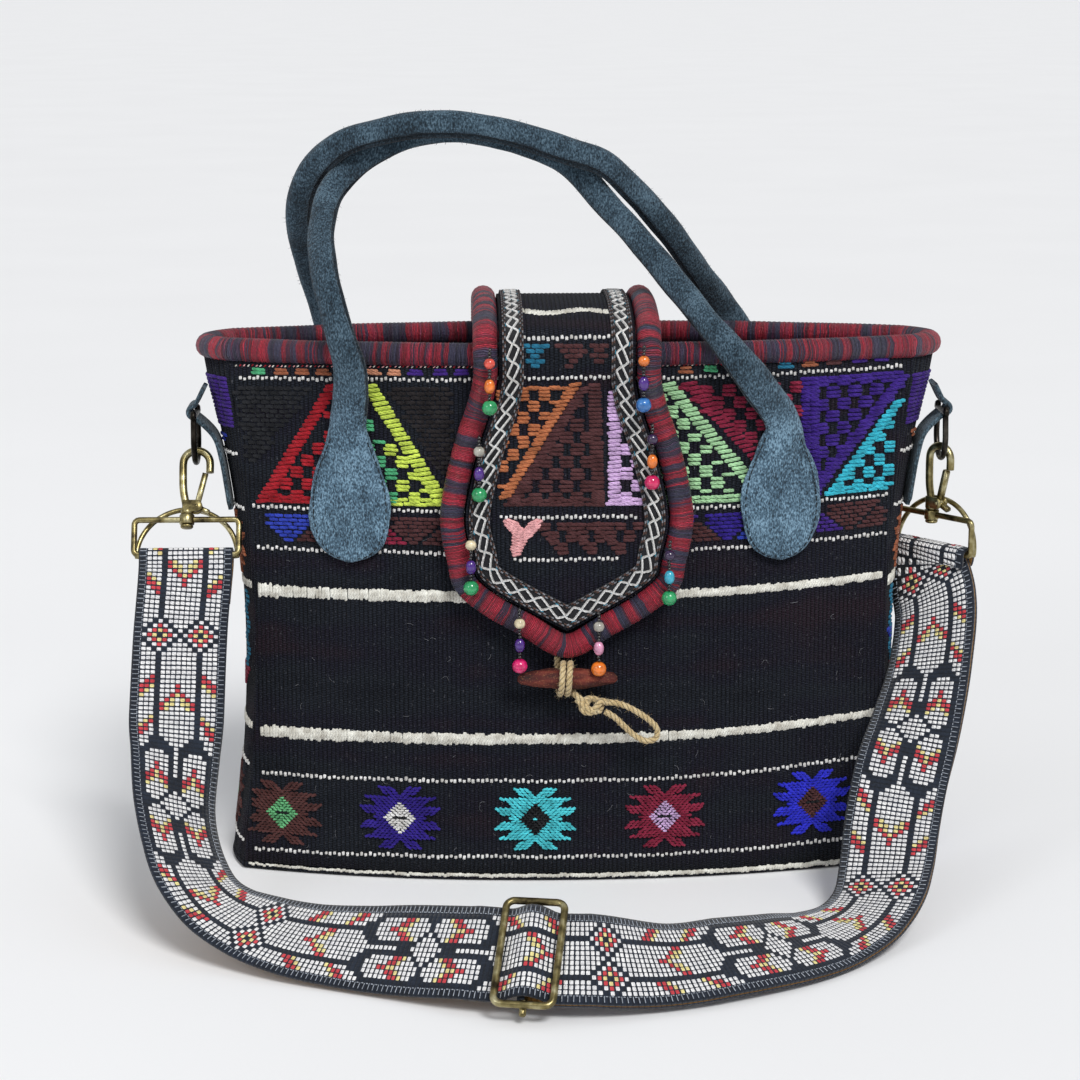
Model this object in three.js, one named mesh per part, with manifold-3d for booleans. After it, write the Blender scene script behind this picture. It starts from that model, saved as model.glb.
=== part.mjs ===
// Kilim tote bag: woven panels on a suede lining, a beaded flap with a toggle, two rolled suede
// handles and a clip-on webbing shoulder strap. Millimetres, +Z up, the front faces -Y, and the
// origin is the middle of the underside of the base.
import * as THREE from 'three';
import { mergeVertices } from 'three/addons/utils/BufferGeometryUtils.js';
import Module from 'manifold-3d';

const wasm = await Module();
wasm.setup();

// Clearances
const FIT_GAP = 0.3;            // between pieces that touch
const SEAM_GAP = 0.4;           // between two sewn panel edges

// Bag body
const BODY_HEIGHT = 272;        // floor to the top edge of the panels
const BASE_HALF_WIDTH = 178;    // middle to the side crease, at the floor
const WAIST_HALF_WIDTH = 169;
const TOP_HALF_WIDTH = 181;
const BASE_HALF_DEPTH = 60;     // middle to the front, at the floor
const TOP_HALF_DEPTH = 46;
const BASE_CREASE_DEPTH = 34;   // middle to the side crease, front to back
const TOP_CREASE_DEPTH = 20;
const BASE_END_BULGE = 8;       // how far a gusset stands out past the creases
const TOP_END_BULGE = 14;
const END_TUCK = 4;             // how far the gusset is drawn in half way up
const PANEL_BOW = 2.2;          // power of the bow of the front and back
const CLOTH = 3.5;              // kilim
const LINING = 1.5;             // suede lining
const BASE_THICKNESS = 4;
const RIM_RADIUS = 8.5;
const PANEL_STEPS = 14;         // facets across a front or back panel
const GUSSET_STEPS = 4;
const HEIGHT_STEPS = 8;

// Pieces sewn on the front, a little left of the middle
const FRONT_MIDDLE = -4;

// Flap; its heights follow the top edge of the panels
const FLAP_CLOTH = 4;
const FLAP_LINING = 1.2;
const FLAP_PIPING_RADIUS = 6.5;
const FLAP_CROWN = BODY_HEIGHT + 31;        // height of its middle layer over the opening
const FLAP_BACK_END = BODY_HEIGHT - 32;     // where it is sewn on the back panel
const FLAP_NECK = 42;           // half widths, to the centre of the piping
const FLAP_WIDEST = 59.5;
const FLAP_LOW = 48;
const FLAP_NECK_HEIGHT = BODY_HEIGHT - 7;   // where the neck starts to widen
const FLAP_WIDEST_HEIGHT = BODY_HEIGHT - 72;
const FLAP_LOW_HEIGHT = BODY_HEIGHT - 114;
const TRIM_WIDTH = 11;
const TRIM_THICKNESS = 1.2;
const TRIM_INSET = 1.5;         // from the piping to the woven trim

// Bead strands
const BEAD_RADIUS = 4.2;
const SEED_RADIUS = 1.6;
const STRAND_LENGTH = 34;
const FACET_SHARE = 0.95;       // of a radius, left by the facets of a round piece

// Handles
const PAD_HALF_SPAN = 113;      // middle of the front to the middle of a pad
const PAD_BOTTOM = BODY_HEIGHT - 100;
const PAD_HALF_WIDTH = 21.8;
const PAD_HALF_THICKNESS = 2;
const PAD_LENGTH = 72;
const HANDLE_HALF_WIDTH = 7;
const HANDLE_HALF_THICKNESS = 4.5;

// Toggle and its jute cord
const TOGGLE_LENGTH = 52;
const TOGGLE_RADIUS = 6;
const TOGGLE_HEIGHT = BODY_HEIGHT - 158;
const CORD_RADIUS = 1.8;
const WRAP_WIDTH = 13;          // turns of the cord side by side on the toggle
const KNOT_RADIUS = 5.5;

// Side tabs and rings
const TAB_WIDTH = 20;
const TAB_THICKNESS = 2.4;
const TAB_TOP = BODY_HEIGHT - 10;
const TAB_BOTTOM = BODY_HEIGHT - 78;
const RING_WIRE = 1.6;          // radius of the wire
const RING_HEIGHT = 28;         // to the middle of the wire
const RING_HALF_WIDTH = 13;
const TAB_FORWARD = 8;          // in front of the middle of the gusset
const RING_TOP = BODY_HEIGHT - 25;          // height of the wire's centre inside the tab
const RING_REACH = 10;          // from the gusset to the ring's wire
const LOOP_REACH = 20;          // at least, from the gusset beside the strap's loop to the ring's wire

// Snap hooks, in their own frame: post at the origin, hook up, bar along X
const HOOK_WIRE = 2.1;
const HOOK_HEIGHT = 38.2;       // post to the middle of the wire at the top
const HOOK_RADIUS = 7.1;
const HOOK_OFFSET = 4.6;        // post to the middle of the bow
const HOOK_RING_PLAY = 2.4;     // above the ring, so that it can swing
const GATE_PIVOT = [5, 7];
const GATE_TIP = [9.4, 25.5];
const GATE_HALF_WIDTH = 1.5;
const GATE_HALF_DEPTH = 1.6;
const PIN_RADIUS = 1;
const PIN_PLAY = 0.1;
const LUG_RADIUS = 3.2;
const LUG_THICKNESS = 1.3;
const STEM_RADIUS = 2;
const STEM_PLAY = 0.15;
const BOSS_RADIUS = 4;
const BOSS_HALF_HEIGHT = 2.6;
const HEAD_RADIUS = 3.4;
const HEAD_THICKNESS = 1.8;
const RIGHT_HOOK_TURN = -50;    // degrees; the left hook faces the front
const LEFT_HOOK_LEAN = 28;      // degrees; the strap draws it forward

// Strap ends
const LOOP_WIRE = 1.6;
const LOOP_HALF_WIDTH = 27.6;   // to the middle of the wire
const LOOP_DROP = 19;
const D_RING_WIRE = 1.4;
const D_RING_HALF_WIDTH = 26.6;
const D_RING_HEIGHT = 27;
const D_RING_SETBACK = 3.7;     // behind the loop, on its bar
const D_RING_LEAN = 8;          // degrees

// Shoulder strap
const STRAP_WIDTH = 49;
const STRAP_THICKNESS = 1.6;
const STRAP_LAYER = 2.3;        // from the middle of one layer to the next
const STRAP_TUCK = 26;          // sewn length behind the left loop
const STRAP_STRAIGHT = 10;      // straight stretch below a loop's bar
const SLIDER_WIRE = 1.8;
const SLIDER_HALF_LENGTH = 14;
const SLIDER_HALF_WIDTH = 28;
const SLIDER_BAR_RADIUS = 1.7;
const SLIDER_BAR_END = 4;       // how far the bar stands out past the frame
// Middle of the strap from the left loop to the right one: x, y, z, then the direction across it
// from its outer edge to its inner edge.
const STRAP_ROUTE = [
  [-206, -51, 137, 1, 0, 0],
  [-207, -68, 104, 1, 0.1, 0],
  [-207, -84, 81, 0.85, 0.5, -0.1],
  [-206, -104, 59, 0.7, 0.7, -0.15],
  [-200, -124, 42, 0.52, 0.85, -0.03],
  [-191, -142, 30, 0.42, 0.9, 0.05],
  [-179, -154, 22, 0.4, 0.9, 0.14],
  [-161, -166, 17, 0.38, 0.88, 0.28],
  [-139, -179, 15, 0.33, 0.85, 0.39],
  [-113, -192, 16, 0.22, 0.82, 0.5],
  [-88, -205, 19, 0.1, 0.79, 0.58],
  [-61, -219, 23, 0.05, 0.8, 0.6],
  [-29, -231, 27, 0.05, 0.8, 0.6],
  [5, -231, 23, 0.03, 0.81, 0.58],
  [42, -219, 16.5, -0.05, 0.91, 0.41],
  [70, -207, 15.5, -0.13, 0.92, 0.37],
  [99, -190, 13, -0.24, 0.92, 0.28],
  [123, -168, 10, -0.4, 0.9, 0.14],
  [141, -147, 11, -0.56, 0.82, 0.02],
  [152, -130, 17, -0.72, 0.69, -0.04],
  [158, -114, 27, -0.88, 0.47, -0.03],
  [163, -99, 44, -0.94, 0.33, 0.04],
  [170, -83, 65, -0.97, 0.24, 0.03],
  [180, -65, 88, -0.88, 0.44, -0.1],
  [190, -44, 114, -0.74, 0.65, -0.15],
  [196, -22, 140, -0.66, 0.74, -0.05],
];
const SLIDER_STATION = 12;      // the slider's place along that route

// Finishes
const finish = (color, roughness, metalness = 0) =>
  new THREE.MeshStandardMaterial({ color, roughness, metalness, flatShading: true });
const KILIM = finish(0x16191f, 0.95);
const SUEDE = finish(0x4a6478, 0.95);
const LINING_SUEDE = finish(0x2c3a4a, 0.95);
const YARN = finish(0x8e1f2e, 0.85);
const RIBBON = finish(0x1b1b1f, 0.8);
const WEBBING = finish(0x1c2533, 0.8);
const BRASS = finish(0x8a7a4a, 0.35, 1);
const GUNMETAL = finish(0x2a2723, 0.35, 1);
const WOOD = finish(0x5a231d, 0.6);
const JUTE = finish(0xc9b48a, 0.95);
const BEADS = finish(0x6b2a86, 0.3);

const bag = new THREE.Group();
const lerp = THREE.MathUtils.lerp;
const vec = (x, y, z) => new THREE.Vector3(x, y, z);

function addPart(name, geometry, material, parent = bag) {
  const mesh = new THREE.Mesh(geometry, material);
  mesh.name = name;
  parent.add(mesh);
  return mesh;
}

// Mesh helpers

function geometryFrom(points, triangles) {
  const geometry = new THREE.BufferGeometry();
  geometry.setAttribute('position', new THREE.Float32BufferAttribute(points.flatMap((p) => [p.x, p.y, p.z]), 3));
  geometry.setIndex(triangles.flat());
  return geometry;
}

// Closed solid from a stack of loops with equal point counts, with a fan over each end loop.
// Loops run counter-clockwise seen from the end of the stack.
function loopStack(loops) {
  const count = loops[0].length;
  const points = loops.flat();
  const triangles = [];
  for (let row = 0; row + 1 < loops.length; row++) {
    for (let k = 0; k < count; k++) {
      const a = row * count + k;
      const b = row * count + (k + 1) % count;
      triangles.push([a, b, b + count], [a, b + count, a + count]);
    }
  }
  const fan = (start, flip) => {
    const centre = vec(0, 0, 0);
    for (let k = 0; k < count; k++) centre.addScaledVector(points[start + k], 1 / count);
    const hub = points.push(centre) - 1;
    for (let k = 0; k < count; k++) {
      const a = start + k;
      const b = start + (k + 1) % count;
      triangles.push(flip ? [hub, b, a] : [hub, a, b]);
    }
  };
  fan(0, true);
  fan((loops.length - 1) * count, false);
  return geometryFrom(points, triangles);
}

// Thick sheet from two equal grids of points: the outer face and the inner face. Seen from
// outside, rows run upwards and columns run to the right.
function thickGrid(outer, inner) {
  const rows = outer.length;
  const columns = outer[0].length;
  const points = [...outer.flat(), ...inner.flat()];
  const at = (row, column, side) => side * rows * columns + row * columns + column;
  const triangles = [];
  const quad = (a, b, c, d) => triangles.push([a, b, c], [a, c, d]);
  for (let r = 0; r + 1 < rows; r++) {
    for (let c = 0; c + 1 < columns; c++) {
      quad(at(r, c, 0), at(r, c + 1, 0), at(r + 1, c + 1, 0), at(r + 1, c, 0));
      quad(at(r, c, 1), at(r + 1, c, 1), at(r + 1, c + 1, 1), at(r, c + 1, 1));
    }
    quad(at(r, 0, 1), at(r, 0, 0), at(r + 1, 0, 0), at(r + 1, 0, 1));
    quad(at(r, columns - 1, 0), at(r, columns - 1, 1), at(r + 1, columns - 1, 1), at(r + 1, columns - 1, 0));
  }
  for (let c = 0; c + 1 < columns; c++) {
    quad(at(0, c, 1), at(0, c + 1, 1), at(0, c + 1, 0), at(0, c, 0));
    quad(at(rows - 1, c, 0), at(rows - 1, c + 1, 0), at(rows - 1, c + 1, 1), at(rows - 1, c, 1));
  }
  return geometryFrom(points, triangles);
}

function ringOfWire(curve, steps, radius, sides) {
  return new THREE.TubeGeometry(curve, steps, radius, sides, true);
}

function openTube(points, radius, steps, sides = 8) {
  const circle = new THREE.Shape().absarc(0, 0, radius, 0, 2 * Math.PI, false);
  const extrudePath = new THREE.CatmullRomCurve3(points);
  return new THREE.ExtrudeGeometry(circle, { steps, extrudePath, curveSegments: sides / 2, bevelEnabled: false });
}

function toManifold(geometry) {
  const bare = geometry.clone();
  bare.deleteAttribute('normal');
  bare.deleteAttribute('uv');
  const merged = mergeVertices(bare, 1e-4);
  return new wasm.Manifold(new wasm.Mesh({
    numProp: 3,
    vertProperties: new Float32Array(merged.attributes.position.array),
    triVerts: new Uint32Array(merged.index.array),
  }));
}

function fromManifold(solid) {
  const mesh = solid.getMesh();
  const geometry = new THREE.BufferGeometry();
  geometry.setAttribute('position', new THREE.BufferAttribute(mesh.vertProperties, 3));
  geometry.setIndex(new THREE.BufferAttribute(mesh.triVerts, 1));
  return geometry;
}

const join = (...pieces) => pieces.map(toManifold).reduce((sum, piece) => sum.add(piece));

function cylinder(radius, length, sides = 16) {
  return new THREE.CylinderGeometry(radius, radius, length, sides);
}

// Shape of the bag body

const heightShare = (z) => THREE.MathUtils.clamp(z / BODY_HEIGHT, 0, 1);

function creaseHalfWidth(share) {
  const end = lerp(BASE_HALF_WIDTH, TOP_HALF_WIDTH, share);
  return WAIST_HALF_WIDTH + (end - WAIST_HALF_WIDTH) * (2 * share - 1) ** 2;
}

const halfDepth = (share) => lerp(BASE_HALF_DEPTH, TOP_HALF_DEPTH, share ** 2);
const creaseDepth = (share) => lerp(BASE_CREASE_DEPTH, TOP_CREASE_DEPTH, share);
const endBulge = (share) => lerp(BASE_END_BULGE, TOP_END_BULGE, share) - 4 * END_TUCK * share * (1 - share);

// Distance of the outer face of the front or back from the middle plane
function faceDepth(x, z) {
  const share = heightShare(z);
  const across = Math.min(Math.abs(x) / creaseHalfWidth(share), 1);
  return lerp(halfDepth(share), creaseDepth(share), across ** PANEL_BOW);
}

const gussetFace = (z) => creaseHalfWidth(heightShare(z)) + endBulge(heightShare(z));

// Outline of the body at one height, counter-clockwise from above, from the front left crease
function bodyOutline(share) {
  const width = creaseHalfWidth(share);
  const depth = creaseDepth(share);
  const bulge = endBulge(share);
  const front = [];
  const end = [];
  for (let k = 0; k < PANEL_STEPS; k++) {
    const across = -1 + 2 * k / PANEL_STEPS;
    front.push([across * width, -lerp(halfDepth(share), depth, Math.abs(across) ** PANEL_BOW)]);
  }
  for (let k = 0; k < GUSSET_STEPS; k++) {
    const along = -1 + 2 * k / GUSSET_STEPS;
    end.push([width + bulge * (1 - along * along), along * depth]);
  }
  const half = [...front, ...end];
  return [...half, ...half.map(([x, y]) => [-x, -y])].map(([x, y]) => new THREE.Vector2(x, y));
}

// The same outline moved inwards, with true corners
function insetOutline(outline, distance) {
  const count = outline.length;
  return outline.map((point, k) => {
    const before = point.clone().sub(outline[(k + count - 1) % count]).normalize();
    const after = outline[(k + 1) % count].clone().sub(point).normalize();
    const inward = new THREE.Vector2(-before.y - after.y, before.x + after.x).normalize();
    const stretch = inward.dot(new THREE.Vector2(-after.y, after.x));
    return point.clone().addScaledVector(inward, distance / stretch);
  });
}

const lift = (outline, z) => outline.map((p) => vec(p.x, p.y, z));

// Grid of one panel: the outline's points from one corner to the next, at every height
function panelGrid(firstCorner, steps, inset, bottom) {
  const grid = [];
  for (let row = 0; row <= HEIGHT_STEPS; row++) {
    const share = lerp(bottom, BODY_HEIGHT, row / HEIGHT_STEPS) / BODY_HEIGHT;
    const outline = insetOutline(bodyOutline(share), inset);
    const line = [];
    for (let k = 0; k <= steps; k++) line.push(outline[(firstCorner + k) % outline.length].clone());
    line[0].add(line[1].clone().sub(line[0]).setLength(SEAM_GAP / 2));
    line[steps].add(line[steps - 1].clone().sub(line[steps]).setLength(SEAM_GAP / 2));
    grid.push(lift(line, share * BODY_HEIGHT));
  }
  return grid;
}

function addBody() {
  const bottom = BASE_THICKNESS + FIT_GAP;
  const side = PANEL_STEPS + GUSSET_STEPS;
  const panels = [
    ['front_panel', 0, PANEL_STEPS],
    ['right_gusset', PANEL_STEPS, GUSSET_STEPS],
    ['back_panel', side, PANEL_STEPS],
    ['left_gusset', side + PANEL_STEPS, GUSSET_STEPS],
  ];
  for (const [name, corner, steps] of panels) {
    addPart(name, thickGrid(panelGrid(corner, steps, 0, bottom), panelGrid(corner, steps, CLOTH, bottom)), KILIM);
  }
  const floorplan = bodyOutline(0);
  addPart('base_panel', loopStack([lift(floorplan, 0), lift(floorplan, BASE_THICKNESS)]), KILIM);
  addLining(bottom);
  addRim();
}

function addLining(bottom) {
  const outerInset = CLOTH + FIT_GAP;
  const wall = (inset, from) => {
    const loops = [];
    for (let row = 0; row <= HEIGHT_STEPS; row++) {
      const z = lerp(from, BODY_HEIGHT, row / HEIGHT_STEPS);
      loops.push(lift(insetOutline(bodyOutline(z / BODY_HEIGHT), inset), z));
    }
    return loops;
  };
  const outside = wall(outerInset, bottom);
  const inside = wall(outerInset + LINING, bottom + LINING).reverse();
  addPart('suede_lining', loopStack([...outside, ...inside]), LINING_SUEDE);
}

function addRim() {
  const middle = insetOutline(bodyOutline(1), (CLOTH + LINING) / 2);
  const path = new THREE.CatmullRomCurve3(lift(middle, BODY_HEIGHT + FIT_GAP + RIM_RADIUS), true);
  addPart('rim_piping', ringOfWire(path, 2 * middle.length, RIM_RADIUS, 8), YARN);
}

// Flap: its middle layer is a profile in the YZ plane, from the back panel over the opening to the
// point at the front, with a half width at each height of the front.

const FLAP_STANDOFF = FLAP_PIPING_RADIUS + 2 * FIT_GAP;
const RIM_CENTRE = BODY_HEIGHT + FIT_GAP + RIM_RADIUS;
const WRAP_OUTER = TOGGLE_RADIUS + FIT_GAP + 2 * CORD_RADIUS;
const FLAP_TIP = TOGGLE_HEIGHT + WRAP_OUTER + FIT_GAP + FLAP_PIPING_RADIUS;

function flapProfile() {
  const rimDepth = TOP_HALF_DEPTH - (CLOTH + LINING) / 2;
  const overRim = RIM_RADIUS + FLAP_STANDOFF + 0.6;
  const onFace = (z, side) => vec(0, side * (faceDepth(0, z) + FLAP_STANDOFF), z);
  const roundRim = (degrees, side) => {
    const angle = THREE.MathUtils.degToRad(degrees);
    return vec(0, side * (rimDepth + overRim * Math.cos(angle)), RIM_CENTRE + overRim * Math.sin(angle));
  };
  const drops = [17, 37, 62, 87, 112, 127];
  return new THREE.CatmullRomCurve3([
    onFace(FLAP_BACK_END, 1), onFace(BODY_HEIGHT - drops[0], 1),
    roundRim(0, 1), roundRim(40, 1), roundRim(75, 1),
    vec(0, 20, FLAP_CROWN), vec(0, -20, FLAP_CROWN),
    roundRim(75, -1), roundRim(40, -1), roundRim(0, -1),
    ...drops.map((drop) => onFace(BODY_HEIGHT - drop, -1)), onFace(FLAP_TIP, -1),
  ]);
}

const FLAP_PROFILE = flapProfile();
const FLAP_SAMPLES = 120;
const FLAP_LINE = FLAP_PROFILE.getSpacedPoints(FLAP_SAMPLES);
const FLAP_LENGTH = FLAP_PROFILE.getLength();
const FLAP_ROWS = 36;
const FLAP_POINT_ROWS = 6;
const FLAP_NARROWS = flapShareAt(FLAP_LOW_HEIGHT + 18);

// Share of the profile's length where its front comes down to a height
function flapShareAt(z) {
  for (let k = FLAP_SAMPLES; k > 0; k--) if (FLAP_LINE[k].z >= z) return k / FLAP_SAMPLES;
  return 0;
}

// Half width to the centre of the piping at a share of the profile's length
const FLAP_HALF_WIDTH = flapHalfWidths();

function flapHalfWidths() {
  return new THREE.SplineCurve([
    new THREE.Vector2(0, FLAP_NECK),
    new THREE.Vector2(flapShareAt(FLAP_CROWN - 8), FLAP_NECK),
    new THREE.Vector2(flapShareAt(FLAP_NECK_HEIGHT), FLAP_NECK + 1),
    new THREE.Vector2(flapShareAt((FLAP_NECK_HEIGHT + FLAP_WIDEST_HEIGHT) / 2), (FLAP_NECK + FLAP_WIDEST) / 2 + 2),
    new THREE.Vector2(flapShareAt(FLAP_WIDEST_HEIGHT), FLAP_WIDEST),
    new THREE.Vector2(flapShareAt((FLAP_WIDEST_HEIGHT + FLAP_LOW_HEIGHT) / 2), FLAP_WIDEST - 3),
    new THREE.Vector2(flapShareAt(FLAP_LOW_HEIGHT), FLAP_LOW),
    new THREE.Vector2(1, 0),
  ]).getPoints(400);
}

function flapHalfWidth(share) {
  const k = FLAP_HALF_WIDTH.findIndex((p) => p.x >= share);
  if (k <= 0) return FLAP_HALF_WIDTH[k < 0 ? FLAP_HALF_WIDTH.length - 1 : 0].y;
  const [a, b] = [FLAP_HALF_WIDTH[k - 1], FLAP_HALF_WIDTH[k]];
  return lerp(a.y, b.y, (share - a.x) / Math.max(b.x - a.x, 1e-9));
}

// The same half width moved inwards, square to the edge
function flapInsetWidth(share, distance) {
  let half = flapHalfWidth(share) - distance;
  for (let k = -12; k <= 12; k++) {
    const away = distance * k / 12;
    const nearby = share + away / FLAP_LENGTH;
    if (nearby < 0 || nearby > 1) continue;
    half = Math.min(half, flapHalfWidth(nearby) - Math.sqrt(distance ** 2 - away ** 2));
  }
  return half;
}

// Share of the profile where the inset edge comes to its point
function flapInsetTip(distance) {
  let share = 1;
  while (flapInsetWidth(share, distance) < 0) share -= 0.002;
  return share;
}

// A point of the flap: across from its middle, along its profile, out from its middle layer
function flapPoint(x, share, out) {
  const place = FLAP_PROFILE.getPointAt(share);
  const tangent = FLAP_PROFILE.getTangentAt(share);
  const normal = vec(0, tangent.z, -tangent.y);
  const recede = faceDepth(0, place.z) - faceDepth(x + FRONT_MIDDLE, place.z);
  const side = THREE.MathUtils.clamp(-place.y / TOP_HALF_DEPTH, -1, 1);
  return vec(x + FRONT_MIDDLE, place.y + recede * side, place.z).addScaledVector(normal, out);
}

// Shares of the flap's rows: even down to the part that narrows, then on to the point
function flapRows(tip) {
  const rows = [];
  for (let k = 0; k <= FLAP_ROWS; k++) rows.push(FLAP_NARROWS * k / FLAP_ROWS);
  for (let k = 1; k <= FLAP_POINT_ROWS; k++) rows.push(lerp(FLAP_NARROWS, tip, k / FLAP_POINT_ROWS));
  return rows;
}

function flapSheet(inset, low, high) {
  const rows = flapRows(flapInsetTip(inset)).reverse();
  const columns = 6;
  const layer = (out) => {
    const grid = [];
    for (const share of rows) {
      const half = Math.max(flapInsetWidth(share, inset), 0.5);
      const line = [];
      for (let c = 0; c <= columns; c++) line.push(flapPoint(lerp(-half, half, c / columns), share, out));
      grid.push(line);
    }
    return grid;
  };
  return thickGrid(layer(high), layer(low));
}

function addFlap() {
  const inset = FLAP_PIPING_RADIUS + 2 * FIT_GAP;
  const liningTop = -FLAP_CLOTH / 2 - FIT_GAP;
  addPart('flap_panel', flapSheet(inset, -FLAP_CLOTH / 2, FLAP_CLOTH / 2), KILIM);
  addPart('flap_lining', flapSheet(inset, liningTop - FLAP_LINING, liningTop), LINING_SUEDE);
  addPart('flap_piping', openTube(flapEdge(30), FLAP_PIPING_RADIUS, 70, 12), YARN);
  addTrim(inset + TRIM_INSET);
}

// Centre of the piping, from the right back end round the point to the left back end
function flapEdge(steps) {
  const edge = [];
  for (let k = 0; k <= steps; k++) edge.push(flapPoint(flapHalfWidth(k / steps), k / steps, 0));
  for (let k = steps - 1; k >= 0; k--) edge.push(flapPoint(-flapHalfWidth(k / steps), k / steps, 0));
  return edge;
}

function addTrim(inset) {
  const low = FLAP_CLOTH / 2 + FIT_GAP;
  const edges = [inset + TRIM_WIDTH, inset];
  const shares = edges.map((distance) => flapRows(flapInsetTip(distance)));
  const last = shares[0].length - 1;
  const layer = (out) => {
    const line = (side, k) => edges.map((distance, e) => {
      const share = shares[e][k];
      const half = k < last ? flapInsetWidth(share, distance) : 0;
      return flapPoint(side * half, share, out);
    });
    const rows = [];
    for (let k = 0; k < last; k++) rows.push(line(1, k));
    for (let k = last; k >= 0; k--) rows.push(line(-1, k));
    return rows.map((row) => row.reverse());
  };
  addPart('flap_trim', thickGrid(layer(low + TRIM_THICKNESS), layer(low)), RIBBON);
}

// Bead strands: how far each hangs from the flap's middle, and its top over the panels' top edge
const STRANDS = [
  ['bead_strand_left_top', -40, 16],
  ['bead_strand_left_middle', -45.5, -30],
  ['bead_strand_left_low', -50, -78],
  ['bead_strand_point_left', -25, -119],
  ['bead_strand_point_right', 16, -121],
  ['bead_strand_right_top', 38.5, 17],
  ['bead_strand_right_middle', 43.5, -24],
  ['bead_strand_right_low', 52.5, -84],
];

// Beads of a strand from the top: each one's radius and how far its middle hangs below the top
const STRAND_BEADS = strandBeads();

function strandBeads() {
  const radii = [SEED_RADIUS, BEAD_RADIUS, SEED_RADIUS, BEAD_RADIUS, SEED_RADIUS, BEAD_RADIUS];
  const scale = STRAND_LENGTH / radii.reduce((sum, radius) => sum + 2 * radius, 0);
  let top = 0;
  return radii.map((radius) => {
    const half = radius * scale;
    top += 2 * half;
    return { radius, half, drop: top - half };
  });
}

function strandGeometry() {
  const waist = SEED_RADIUS * 0.5;
  const outline = [[0, 0]];
  for (const { radius, half, drop } of STRAND_BEADS) {
    outline.push([radius * 0.7, 0.6 * half - drop], [radius, -drop], [radius * 0.7, -0.6 * half - drop]);
    outline.push([waist, -half - drop]);
  }
  outline.push([0, -STRAND_LENGTH]);
  const profile = outline.map(([radius, height]) => new THREE.Vector2(radius, height)).reverse();
  return new THREE.LatheGeometry(profile, 8).rotateX(Math.PI / 2);
}

// How far forward the middle of a bead lies on the trim, the piping or the toggle
function beadDepth(x, z, radius) {
  const depths = [];
  const over = (depth, size, apart) => {
    const clear = (size + radius) * FACET_SHARE + FIT_GAP;
    if (apart < clear) depths.push(depth - Math.sqrt(clear ** 2 - apart ** 2));
  };
  const share = flapShareAt(z);
  if (z > FLAP_TIP && Math.abs(x) < flapInsetWidth(share, FLAP_PIPING_RADIUS)) {
    depths.push(flapPoint(x, share, FLAP_CLOTH / 2 + TRIM_THICKNESS + 2 * FIT_GAP + radius).y);
  }
  for (const edge of FLAP_EDGE) {
    if (edge.y < 0) over(edge.y, FLAP_PIPING_RADIUS, Math.hypot(edge.x - FRONT_MIDDLE - x, edge.z - z));
  }
  const fromMiddle = Math.abs(x) / (TOGGLE_LENGTH / 2);
  if (fromMiddle < 1) over(TOGGLE_AXIS, TOGGLE_RADIUS * (1 - fromMiddle / 2), Math.abs(z - TOGGLE_HEIGHT));
  return Math.min(...depths, -faceDepth(x + FRONT_MIDDLE, z) - radius);
}

const FLAP_EDGE = flapEdge(100);

// A strand hangs straight down, as far back as its beads let it
function addBeadStrands() {
  for (const [name, x, rise] of STRANDS) {
    const top = BODY_HEIGHT + rise;
    const depths = STRAND_BEADS.map(({ radius, drop }) => beadDepth(x, top - drop, radius));
    addPart(name, strandGeometry(), BEADS).position.set(FRONT_MIDDLE + x, Math.min(...depths), top);
  }
}

// Handles: a rolled strip with a flat drop-shaped pad at each end. Points above the pads are
// chosen, with heights from the panels' top edge; the pads lie on the panel's face.

const PAD_STATIONS = [0, 0.06, 0.2, 0.4, 0.6, 0.8, 1];
const PAD_SHAPE = [0.1, 0.42, 0.8, 1, 0.93, 0.68, 0.44];
const FRONT_ARCH = [
  [-115, -50, 0], [-119, -51, 17], [-124, -47, 35], [-128, -38, 53], [-129, -22, 71],
  [-123, -5, 89], [-109, 4, 102], [-88, 7, 112], [-61, 8, 116], [-29, 8, 110], [0, 6, 98],
  [16, 0, 83.5], [33, -12, 66], [54, -30, 42], [69, -46, 25], [82, -55, 10], [93, -53, -4],
];
const BACK_ARCH = [
  [-126, 51, -2], [-132, 52, 15], [-139, 46, 34], [-145, 33, 56], [-147, 16, 76],
  [-139, 3, 97], [-123, -5, 114], [-101, -8, 122], [-76, -8, 126], [-50, -8, 125], [-24, -8, 119],
  [-3, -8, 112], [17, -4, 104.5], [38, 5, 85.5], [58, 16, 64], [75, 33, 42], [87, 48, 24], [96, 52, 6],
];

function padPoints(x, side) {
  return PAD_STATIONS.map((share) => {
    const z = PAD_BOTTOM + share * PAD_LENGTH;
    const thickness = lerp(PAD_HALF_THICKNESS, HANDLE_HALF_THICKNESS, Math.max(share - 0.6, 0) / 0.4);
    return vec(x, side * (faceDepth(x, z) + FIT_GAP + thickness), z);
  });
}

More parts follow.
